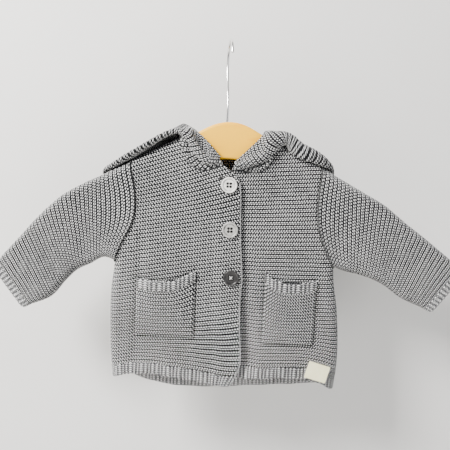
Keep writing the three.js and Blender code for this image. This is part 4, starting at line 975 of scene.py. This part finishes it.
def hood_strip(side, at):
    rows = HOOD[side]
    sign = -1 if side == "right" else 1
    row = at_station(rows, at)
    seam = min(max(row[0], 0), 1)
    start, rise = neck_seam(side, seam)
    fold, radius, edge = row[2:5], row[5], row[6:9]
    last = len(rows) - 1
    axis = at_station(rows, min(at + 0.2, last))[2:5] - at_station(rows, max(at - 0.2, 0))[2:5]
    axis = unit(axis) if at < last - 0.01 else np.array([1.0, 0, 0])
    outward = fold - mix(start, edge, 0.5)
    outward = unit(outward - axis * outward.dot(axis))
    up = edge - start
    up = up - axis * up.dot(axis)
    up = unit(up - outward * up.dot(outward))
    middle = fold - outward * radius
    swing = math.pi * float(eased((seam - 0.25) / 0.45)) - math.pi / 2
    aside = np.array([sign * math.cos(swing), math.sin(swing), 0])
    turn = math.radians(row[1])
    strip = [start]
    for k in range(1, HOOD_TURN + 1):
        a = turn * k / HOOD_TURN
        lift = HOOD_BEND * math.sin(a) + 0.6 * k / HOOD_TURN
        strip.append(start + aside * HOOD_BEND * (1 - math.cos(a)) + [0, 0, lift])
    leave = aside * math.sin(turn) + [0, 0, math.cos(turn)]
    begin = strip[-1]
    under, over = middle - up * radius, middle + up * radius
    lies = float(eased((at - 1.6) / 0.9))
    for k in range(1, HOOD_UNDER + 1):
        t = k / HOOD_UNDER
        free = path(begin, leave, under, outward, t)
        least = lies * HOOD_CLEAR * float(eased(t * 8))
        share = lies * (1 - float(eased((t - 0.7) / 0.3)))
        settled = kept(mix(free, around_shoulder(begin, under, t, least), share), least)
        strip.append(settled if least > 0 else free)
    for k in range(1, HOOD_FOLD):
        a = math.pi * k / HOOD_FOLD - math.pi / 2
        p = middle + outward * radius * math.cos(a) + up * radius * math.sin(a)
        least = HOOD_CLEAR + min(radius, HOOD_HELD) * (1 + math.sin(a))
        strip.append(kept(p, lies * least) if lies else p)
    finish = unit(edge - over)
    for k in range(HOOD_OVER + 1):
        t = k / HOOD_OVER
        free = path(over, -outward, edge, finish, t)
        settled = mix(HOOD_UPPER, HOOD_EDGE, float(eased((t - 0.4) / 0.6)))
        upper = mix(HOOD_CLEAR + min(radius, HOOD_HELD) * 2, settled, float(eased(t * 3)))
        upper *= float(eased((abs(free[0] - SHOULDER["centre"]) - 26) / 22))
        strip.append(mix(free, kept(free, upper), lies) if lies else free)
    return np.array(strip), rise


def evened(strips, count):
    """Each strip with as many points, an even way apart and without sharp corners."""
    result = []
    for strip in strips:
        points, _ = even_points(strip, count)
        for _ in range(4):
            points[1:-1] = points[1:-1] * 0.5 + (points[:-2] + points[2:]) * 0.25
        result.append(points)
    return np.array(result)


for side in ("right", "left"):
    sign = -1 if side == "right" else 1
    last = len(HOOD[side]) - 1
    places = np.linspace(0, last, HOOD_STRIPS)
    made = [hood_strip(side, float(p)) for p in places]
    rises = np.array([rise for _, rise in made])
    count = int(HOOD_LENGTH / CELL)
    rough = evened([strip for strip, _ in made], count)
    # Knitting evens out along the rim as well
    for _ in range(10):
        rough[1:-1, 3:] = rough[1:-1, 3:] * 0.5 + (rough[:-2, 3:] + rough[2:, 3:]) * 0.25
    rim = rough[:, count // 2 :].mean(axis=1)
    way = way_along(rim)
    fine = int(way[-1] / CELL / 1.1)
    at = np.interp(np.linspace(0, way[-1], fine), way, np.arange(len(places)))
    lower = np.clip(np.floor(at).astype(int), 0, len(places) - 2)
    grid = mix(rough[lower], rough[lower + 1], (at - lower)[:, None, None])
    rises = mix(rises[lower], rises[lower + 1], (at - lower)[:, None])
    grid[-1, :, 0] = sign * SEAM / 2
    lengths = np.cumsum(np.linalg.norm(np.diff(grid, axis=1), axis=2), axis=1)
    lengths = np.concatenate([np.zeros((len(grid), 1)), lengths], axis=1)
    # Its ridges start along the neck seam and soon turn across, to run to the rim
    round_rim = np.linspace(0, way[-1], fine)
    slant = HOOD_SLANT * (1 - eased(round_rim / HOOD_SLANT_ENDS))
    near_neck = HOOD_TURNED * (1 - np.exp(-lengths / HOOD_TURNED))
    ridges = round_rim[:, None] + near_neck * np.sin(slant)[:, None]
    measure = np.stack([lengths / STITCH, ridges / RIDGE], axis=-1)
    relief = garter(measure[..., 0], measure[..., 1])
    tail = np.minimum(lengths, lengths[:, -1:] - lengths)
    tail = np.minimum(tail, (fine - 1 - np.arange(fine))[:, None] * CELL)
    relief = sewn_down(relief, tail, 0.5)
    # Round the front of the neck the first rows roll up, with a furrow above the roll
    front = eased((HOOD_ROLL_ENDS - round_rim) / HOOD_ROLL_FADES)[:, None]
    relief = relief + front * (1.3 * np.sin(math.pi * np.clip(lengths / 8.5, 0, 1))
                               - 1.6 * dip(lengths - 9.3, 1.2))

    def steer(normal, rises=rises):
        upward = np.maximum((normal[:, 0] * rises).sum(axis=1), 0)
        normal[:, 0] -= rises * upward[:, None]
        normal[-1, :, 0] = 0
        return normal

    if side == "left":
        # The line on which the two halves are joined, drawn in from their outside
        inwards = grid_normals(grid, False, -sign)[-1]
        inwards[:, 0] = 0
        hood_middle = grid[-1] * [0, 1, 1] - inwards * HOOD_SEAM_SUNK
    piece = knitted(side + "_hood_cloth", grid, relief, measure, garter_cloth,
                    turned=-sign, steer=steer)
    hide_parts(side + "_hood")

# The seams: shoulders, sides, armholes, neck and the hood's middle are sewn with one strand of
# the same grey yarn. Its small even stitches lie in the groove where two pieces meet, coloured
# much darker than the cloth as painted shade of that groove.
SEWN_STITCH = 2.8
SEWN_RADIUS = 0.95
SEWN_DEPTH = 2.3
SEWN_STEP = 0.56


def sewing_thread(name, colour, fineness):
    """Spun thread or yarn, darker between its fibres."""
    thread = Finish(name, Roughness=0.8)
    dark = tuple(c * 0.6 for c in colour)
    thread.coloured(thread.noise(fineness, rough=0.6), (0.3, dark), (0.7, colour))
    return thread.material


def plain_mesh(name, points, faces, material, smooth=True):
    mesh = bpy.data.meshes.new(name)
    mesh.from_pydata([tuple(np.asarray(p, float) / 1000) for p in points], [], faces)
    mesh.validate()
    built = bmesh.new()
    built.from_mesh(mesh)
    bmesh.ops.recalc_face_normals(built, faces=built.faces)
    built.to_mesh(mesh)
    built.free()
    mesh.materials.append(material)
    for face in mesh.polygons:
        face.use_smooth = smooth
    piece = laid_out(name, mesh)
    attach(piece, "root")
    return piece


def cord_points(centre, radius, sides=8):
    """Rings round a line of points, for yarn, thread or wire."""
    centre = np.asarray(centre, float)
    ahead = np.gradient(centre, axis=0)
    ahead /= np.linalg.norm(ahead, axis=1, keepdims=True)
    hint = np.array([0.31, 0.2, 0.93])
    beside = np.cross(ahead, hint)
    beside /= np.linalg.norm(beside, axis=1, keepdims=True)
    other = np.cross(ahead, beside)
    turn = np.linspace(0, 2 * math.pi, sides, endpoint=False)[None, :, None]
    ring = beside[:, None] * np.cos(turn) + other[:, None] * np.sin(turn)
    wide = np.broadcast_to(radius, len(centre))[:, None, None]
    return (centre[:, None] + wide * ring).reshape(-1, 3)


def cord_faces(count, sides, start=0):
    faces = []
    for i in range(count - 1):
        for j in range(sides):
            k = (j + 1) % sides
            a, b = start + i * sides, start + (i + 1) * sides
            faces.append((a + j, a + k, b + k, b + j))
    faces.append(tuple(start + j for j in range(sides))[::-1])
    faces.append(tuple(start + (count - 1) * sides + j for j in range(sides)))
    return faces


def sunk(line):
    """A seam's line, drawn in from the front or back of the cloth into its groove."""
    line = np.array(line, float)
    deep = np.abs(line[:, 1])
    line[:, 1] *= np.maximum(1 - SEWN_DEPTH / np.maximum(deep, 0.01), 0)
    line[:, 2] -= SEWN_DEPTH * eased(1 - deep / 4)
    return line


sewn_lines = [hood_middle]
for side, sign, front_y in (("right", -1, right_front_y), ("left", 1, left_front_y)):
    x, z, pit = SIDES[side]
    foot = float(along(HEM[side], x[0])) + 1.5
    down = np.linspace(foot, z[pit], 120)
    inside = along(SIDE_SEAM[side], down) - sign * SEWN_DEPTH
    sewn_lines.append(np.stack([inside, 0 * down, down], axis=-1))
    arm_x, arm_z = x[pit:] + sign * SEAM, z[pit:]
    front = np.stack([arm_x, front_y(x[pit:], arm_z), arm_z], axis=-1)
    behind = np.stack([arm_x, back_y(x[pit:], arm_z), arm_z], axis=-1)
    sewn_lines.append(sunk(np.concatenate([front, behind[::-1]])[4:-4]))
    over = np.linspace(NECK_POINT[side], SHOULDER_END[side], 60)
    sewn_lines.append(np.stack([over, 0 * over, shoulder_line(over) - SEWN_DEPTH], axis=-1))
    neck = []
    for place in np.linspace(0.01, 0.99, 120):
        start, rise = neck_seam(side, float(place))
        neck.append(start - rise * 0.4)
    neck = np.array(neck)
    neck[:, 1] -= np.sign(neck[:, 1]) * np.minimum(SEWN_DEPTH, np.abs(neck[:, 1]))
    sewn_lines.append(neck)
points, faces = [], []
for line in sewn_lines:
    length = even_points(line, 10)[1]
    line, _ = even_points(line, int(length / SEWN_STEP))
    way = np.linspace(0, length, len(line))
    radius = SEWN_RADIUS * (1 + 0.22 * np.sin(2 * math.pi * way / SEWN_STITCH))
    faces += cord_faces(len(line), 8, len(points))
    points += list(cord_points(line, radius))
# Painted shade: the seam strand is coloured much darker than the cloth's grey, for the shade in the
# seams' grooves
yarn = sewing_thread("shaded_seam_strand", (0.13, 0.131, 0.136), 700.0)
seam_yarn = plain_mesh("seam_yarn", points, faces, yarn)

# The buttons: turned discs with a raised rim and four holes, in white, pale grey and smoky
# grey. Each is sewn on the right front's edge with doubled thread through its holes.
BUTTON_RADIUS = 9
BUTTON_HOLE = 1.15
BUTTON_HOLE_AT = 2.45
BUTTON_SIDES = 64
# How far out and how far forward the disc's turned profile runs, from its back to its middle
BUTTON_PROFILE = [(0.01, 0), (8.1, 0), (8.6, 0.25), (8.9, 0.7), (9, 1.3), (9, 2), (8.85, 2.45),
                  (8.5, 2.72), (8.1, 2.8), (7.6, 2.75), (7.2, 2.5), (6.7, 2.15), (6.1, 1.95),
                  (5, 1.9), (3.4, 1.9), (0.01, 1.9)]
BUTTON_FACE = 1.9
SHADE_COIL_TURNS = 5
SHADE_COIL_POINTS = 160


def button_finish(name, colour, x, z):
    """Cast resin with a soft cloudiness, with painted shade in the groove inside its rim and in and
    round its holes.
    """
    resin = Finish(name)
    cloud = resin.noise(220.0, 3.0, 0.6)
    grain = resin.noise(1600.0, rough=0.6)
    across, _, up = resin.parts(resin.place)
    aside, above = across - x / 1000, up - z / 1000
    out = (aside**2.0 + above**2.0).of("SQRT") * 1000.0
    # Painted shade: the resin is darkened in the groove inside the rim
    rim_groove_shade = (((out - 6.5) * 1.4) ** 2.0 * -1.0).of("EXPONENT")
    hole = BUTTON_HOLE_AT * math.sqrt(0.5) / 1000
    near = (abs(aside) - hole) ** 2.0 + (abs(above) - hole) ** 2.0
    # Painted shade: in and just round each hole the colour turns nearly black
    inside = near.of("LESS_THAN", ((BUTTON_HOLE + 0.4) / 1000) ** 2)
    deep = tuple(c * 0.04 for c in colour)
    dark = tuple(c * 0.72 for c in colour)
    pale = tuple(min(1, c * 1.18 + 0.01) for c in colour)
    resin.coloured(cloud - rim_groove_shade * 0.32 - inside, (0.0, deep), (0.7, pale), (0.3, dark))
    (grain * 0.25 + 0.22).to(resin.shader.inputs["Roughness"])
    resin.raised(grain, 0.12, 0.0002)
    return resin.material


# Painted shade: near-black yarn for the coil behind each button, seen through its holes
shade_coil_yarn = sewing_thread("shade_behind_button_yarn", (0.02, 0.02, 0.022), 1500.0)
white_thread = sewing_thread("white_button_thread", (0.80, 0.79, 0.76), 2500.0)
grey_thread = sewing_thread("grey_button_thread", (0.09, 0.09, 0.09), 2500.0)
# name, x, height, colour, slot, thread, its half width, and the holes that it joins
BUTTONS = [
    ("top", 5.5, -158, (0.80, 0.79, 0.75), "button_white", grey_thread, 0.15, ((0, 1), (2, 3))),
    ("middle", 8.7, -208, (0.40, 0.395, 0.375), "button_grey", grey_thread, 0.15,
     ((0, 1), (2, 3))),
    ("bottom", 12.5, -262.5, (0.02, 0.019, 0.019), "button_dark", white_thread, 0.3,
     ((0, 2), (1, 3))),
]
for name, x, z, colour, slot_name, thread_finish, thread_wide, pairs in BUTTONS:
    ring = np.linspace(0, 2 * math.pi, 17)
    out = right_front_y(x + BUTTON_RADIUS * np.cos(ring), z + BUTTON_RADIUS * np.sin(ring)).min()
    seat = min(float(out), float(right_front_y(x, z))) - SEAM
    turns = [2 * math.pi * k / BUTTON_SIDES for k in range(BUTTON_SIDES)]
    points = [(x + r * math.cos(turn), seat - h, z + r * math.sin(turn))
              for r, h in BUTTON_PROFILE for turn in turns]
    body = plain_mesh("button_" + name + "_disc", points,
                      cord_faces(len(BUTTON_PROFILE), BUTTON_SIDES),
                      button_finish("button_resin_" + name, colour, x, z))
    # Its four holes are drilled right through
    spots = [math.pi * (2 * k + 1) / 4 for k in range(4)]
    holes = [(x + BUTTON_HOLE_AT * math.cos(a), z + BUTTON_HOLE_AT * math.sin(a)) for a in spots]
    drill = bmesh.new()
    for hx, hz in holes:
        bmesh.ops.create_cone(
            drill, segments=20, radius1=BUTTON_HOLE / 1000, radius2=BUTTON_HOLE / 1000, depth=0.02,
            cap_ends=True, matrix=Matrix.Translation((hx / 1000, seat / 1000, hz / 1000))
            @ Matrix.Rotation(math.pi / 2, 4, "X"),
        )
    hole_mesh = bpy.data.meshes.new("button_holes")
    drill.to_mesh(hole_mesh)
    drill.free()
    hole_piece = laid_out("button_holes", hole_mesh)
    cut = body.modifiers.new("holes", "BOOLEAN")
    cut.object = hole_piece
    cut.solver = "EXACT"
    held = bpy.context.evaluated_depsgraph_get()
    drilled = bpy.data.meshes.new_from_object(body.evaluated_get(held))
    body.modifiers.clear()
    finish = body.data.materials[0]
    body.data = drilled
    bpy.data.objects.remove(hole_piece)
    drilled.materials.clear()
    drilled.materials.append(finish)
    for face in drilled.polygons:
        face.use_smooth = abs(face.normal.y) < 0.999
    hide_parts("button_" + name)
    # Two pairs of doubled thread, from hole to hole over the face
    points, faces = [], []
    for a, b in pairs:
        for aside in (-thread_wide, thread_wide):
            t = np.linspace(0, 1, 15)
            over = 0.4 * np.sin(math.pi * t) - 1.6 * (1 - np.sin(math.pi * t) ** 0.4)
            upright = abs(holes[a][0] - holes[b][0]) < 0.1
            line = np.stack([
                mix(holes[a][0], holes[b][0], t) + (aside if upright else 0),
                seat - BUTTON_FACE - 0.2 - over,
                mix(holes[a][1], holes[b][1], t) + (0 if upright else aside),
            ], axis=-1)
            faces += cord_faces(len(line), 6, len(points))
            points += list(cord_points(line, thread_wide * 0.9, 6))
    thread = plain_mesh("button_" + name + "_thread", points, faces, thread_finish)
    # Turns of near-black yarn behind the button, painted shade that shows through its holes
    rounds = np.linspace(0, SHADE_COIL_TURNS * 2 * math.pi, SHADE_COIL_POINTS)
    spread = np.linspace(3.9, 0.5, SHADE_COIL_POINTS)
    coil = np.stack([x + spread * np.cos(rounds), 0 * rounds + seat + 0.14,
                     z + spread * np.sin(rounds)], axis=-1)
    shade_coil = plain_mesh("button_" + name + "_shade_coil", cord_points(coil, 0.42, 6),
                       cord_faces(SHADE_COIL_POINTS, 6), shade_coil_yarn)

# The label: a blank folded tab of cream cotton tape, woven in a close twill, and caught down
# on the left front just above the hem.
LABEL = {"x": 118, "z": -370.5, "width": 25, "tilt": -15, "columns": 20}
# Width and height of the cloth that the tilted label rests on
LABEL_SPAN = (32, 27)
WARP, WEFT = 0.0007, 0.0006
# How far out and up the folded tape's section runs, once round
LABEL_FOLD = [(0, 10), (0, -3), (0.3, -9.6), (0.75, -10), (1.5, -10.05), (2.0, -9.8),
              (2.25, -9.2), (2.3, -8.4), (2.3, 10), (1.3, 10), (1.3, -7.8), (1.0, -7.8), (1.0, 10)]


def woven_tape():
    tape = Finish("cream_woven_tape", **{"Roughness": 0.85, "Sheen Weight": 0.1})
    turned = tape.node("VectorRotate", Angle=math.radians(LABEL["tilt"]))
    turned.rotation_type = "Y_AXIS"
    tape.tree.links.new(tape.place, turned.inputs["Vector"])
    across, _, up = tape.parts(turned.outputs[0])
    weave = (across.waves(WARP) * up.waves(WEFT) + 1.0) * 0.5
    stain = tape.noise(160.0, 3.0, 0.6)
    tape.coloured(weave * 0.35 + stain * 0.65,
                  (0.15, (0.88, 0.82, 0.48)), (0.75, (1.0, 0.97, 0.66)))
    tape.raised(weave, 0.35, 0.00015)
    return tape.material


reach_x = LABEL["x"] + (np.linspace(0, 1, 9)[:, None] - 0.5) * LABEL_SPAN[0]
reach_z = LABEL["z"] + (np.linspace(0, 1, 9)[None, :] - 0.5) * LABEL_SPAN[1]
seat = min(0.0, float(left_front_y(reach_x, reach_z).min())) - SEAM
tilt = math.radians(LABEL["tilt"])
columns = LABEL["columns"]
points = []
for k in range(columns + 1):
    across = (k / columns - 0.5) * LABEL["width"]
    for out, up in LABEL_FOLD:
        curl = 0.1 * math.sin(k / columns * math.pi) * (out > 1)
        x = across * math.cos(tilt) - up * math.sin(tilt)
        z = across * math.sin(tilt) + up * math.cos(tilt)
        points.append((LABEL["x"] + x, seat - out - curl, LABEL["z"] + z))
label = plain_mesh("hem_label_tape", points, cord_faces(columns + 1, len(LABEL_FOLD)), woven_tape(),
                   smooth=False)
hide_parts("hem_label")

# The hanger: a bowed board of pale beech with rounded edges, lightly lacquered, and a bright
# steel wire hook that is screwed into the middle of its top edge.
HANGER = {"centre": 4, "half": 150, "thick": 10, "round": 3.5, "columns": 120}
# crown, curve near the middle and slope of the arms
HANGER_TOP = (-88, 0.0104, 0.56)
HANGER_BELLY = (-130, 0.0068, 0.36)
HOOK_TURN = 82
HOOK_WIRE = 3
HOOK_PATH = [(0, -104), (0, -88), (0, -72), (-5, -56), (-13, -40), (-17.3, -24),
             (-15.6, -8.6), (-8.6, -0.8), (0, 1.5), (8.8, -0.9), (14.8, -7.4), (17, -14)]


def arch(x, top, curve, slope):
    away = np.abs(x - HANGER["centre"])
    bend = slope / (2 * curve)
    straight = top - curve * bend**2 - slope * (away - bend)
    return np.where(away < bend, top - curve * away**2, straight)


def beech():
    wood = Finish("lacquered_beech", **{"Specular IOR Level": 0.3})
    grain = []
    for drawn, scale, detail, rough in (((9, 60, 60), 2.2, 4.0, 0.55),
                                        ((350, 1500, 1500), 1.0, 2.0, 0.6)):
        stretched = wood.node("Mapping", Scale=drawn)
        wood.tree.links.new(wood.place, stretched.inputs["Vector"])
        grain.append(wood.noise(scale, detail, rough, over=stretched.outputs[0]))
    rings, pores = grain
    wood.coloured(rings * 0.8 + pores * 0.25, (0.3, (0.95, 0.35, 0.003)),
                  (0.75, (1.0, 0.52, 0.012)), (0.5, (1.0, 0.52, 0.01)))
    (pores * 0.18 + 0.34).to(wood.shader.inputs["Roughness"])
    wood.raised(pores, 0.12, 0.0002)
    return wood.material


def bright_steel():
    steel = Finish("bright_steel_wire", Metallic=1.0)
    drawn = steel.noise(900.0, rough=0.6)
    steel.coloured(drawn, (0.3, (0.74, 0.73, 0.71)), (0.7, (0.92, 0.91, 0.89)))
    (drawn * 0.16 + 0.14).to(steel.shader.inputs["Roughness"])
    return steel.material


line = np.linspace(-HANGER["half"], HANGER["half"], HANGER["columns"]) + HANGER["centre"]
upper, lower = arch(line, *HANGER_TOP), arch(line, *HANGER_BELLY)
# The arms end in a half round
end = np.minimum(line - line[0], line[-1] - line)
closing = rounded(np.clip(end / 12, 0.02, 1))
middle_z = (upper + lower) / 2
half_high = (upper - lower) / 2 * closing
half_thick = HANGER["thick"] / 2 * rounded(np.clip(end / 6, 0.05, 1))
section = []
for to_y, to_z in ((1, 1), (-1, 1), (-1, -1), (1, -1)):
    for k in range(7):
        a = math.pi / 2 * (len(section) // 7 + k / 6)
        section.append((math.cos(a), math.sin(a), to_y, to_z))
points = []
for x, middle, high, half in zip(line, middle_z, half_high, half_thick):
    edge_round = min(HANGER["round"], high, half)
    for c, s, to_y, to_z in section:
        points.append((x, to_y * (half - edge_round) + c * edge_round,
                       middle + to_z * (high - edge_round) + s * edge_round))
board = plain_mesh("hanger_beech_board", points, cord_faces(len(line), len(section)), beech())
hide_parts("hanger_board")

turn = math.radians(HOOK_TURN)
knots = np.array([(reach * math.cos(turn), -reach * math.sin(turn), z) for reach, z in HOOK_PATH])
line = [at_station(knots, at) for at in np.linspace(0, len(knots) - 1, 140)]
hook = plain_mesh("hanger_wire_hook", cord_points(line, HOOK_WIRE / 2, 16),
                  cord_faces(len(line), 16), bright_steel())
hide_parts("hanger_hook")

# A plain pale room: the cardigan hangs in front of a wall, over a floor, in soft studio light
# from a large lamp above and to the left, with a weaker one on the right. The wall can be seen
# through from behind, so that the cardigan's back shows.
PAINT = (0.80, 0.79, 0.77)


def pale_paint(name):
    paint = Finish(name, Roughness=0.9)
    shade = tuple(c * 0.97 for c in PAINT)
    paint.coloured(paint.noise(6.0, 3.0), (0.3, shade), (0.7, PAINT))
    return paint


def open_from_behind(paint):
    side, clear, choice = (paint.node(kind) for kind in ("NewGeometry", "BsdfTransparent", "MixShader"))
    links = paint.tree.links
    links.new(side.outputs["Backfacing"], choice.inputs["Fac"])
    links.new(paint.shader.outputs["BSDF"], choice.inputs[1])
    links.new(clear.outputs["BSDF"], choice.inputs[2])
    links.new(choice.outputs["Shader"], paint.tree.nodes["Material Output"].inputs["Surface"])
    return paint


for name, paint, corners in (
    ("studio_floor", pale_paint("pale_studio_floor_paint"),
     [(-3, -3, -0.75), (3, -3, -0.75), (3, 3, -0.75), (-3, 3, -0.75)]),
    ("studio_wall", open_from_behind(pale_paint("pale_studio_wall_paint")),
     [(-3, 0.11, -0.76), (3, 0.11, -0.76), (3, 0.11, 2), (-3, 0.11, 2)]),
):
    mesh = bpy.data.meshes.new(name)
    mesh.from_pydata(corners, [], [(0, 1, 2, 3)])
    mesh.materials.append(paint.material)
    laid_out(name, mesh)

for name, place, aim, size, power, colour in (
    ("lamp_above_left", (-0.95, -0.85, 0.75), (0, 0, -0.22), 0.5, 82, (1.0, 0.985, 0.96)),
    ("lamp_right", (1.3, -1.2, 0.1), (0, 0, -0.25), 1.0, 8, (0.95, 0.97, 1.0)),
):
    lamp = bpy.data.lights.new(name, "AREA")
    lamp.shape = "RECTANGLE"
    lamp.size = lamp.size_y = size
    lamp.energy = power
    lamp.color = colour
    holder = laid_out(name, lamp)
    holder.location = place
    holder.rotation_euler = (Vector(aim) - Vector(place)).to_track_quat("-Z", "Y").to_euler()
world = bpy.data.worlds.new("studio_air")
world.use_nodes = True
world.node_tree.nodes["Background"].inputs["Color"].default_value = (0.9, 0.93, 1.0, 1)
world.node_tree.nodes["Background"].inputs["Strength"].default_value = 0.35
bpy.context.scene.world = world

# The photo's view: from a little above, and tilted a little.
PITCH, ROLL = math.radians(7.5), math.radians(2.7)
CAMERA_AT = (0.0029, -0.6425, -0.1208)
LENS, SENSOR = 44.8, 36
ahead = Vector((0, math.cos(PITCH), -math.sin(PITCH)))
level = Vector((1, 0, 0))
above = level.cross(ahead)
right = level * math.cos(ROLL) + above * math.sin(ROLL)
up = -level * math.sin(ROLL) + above * math.cos(ROLL)
lens = bpy.data.cameras.new("photo_view")
lens.sensor_width = SENSOR
lens.lens = LENS
camera = laid_out("photo_view", lens)
rows = [(right[k], up[k], -ahead[k], CAMERA_AT[k]) for k in range(3)]
camera.matrix_world = Matrix((*rows, (0, 0, 0, 1)))
bpy.context.scene.camera = camera
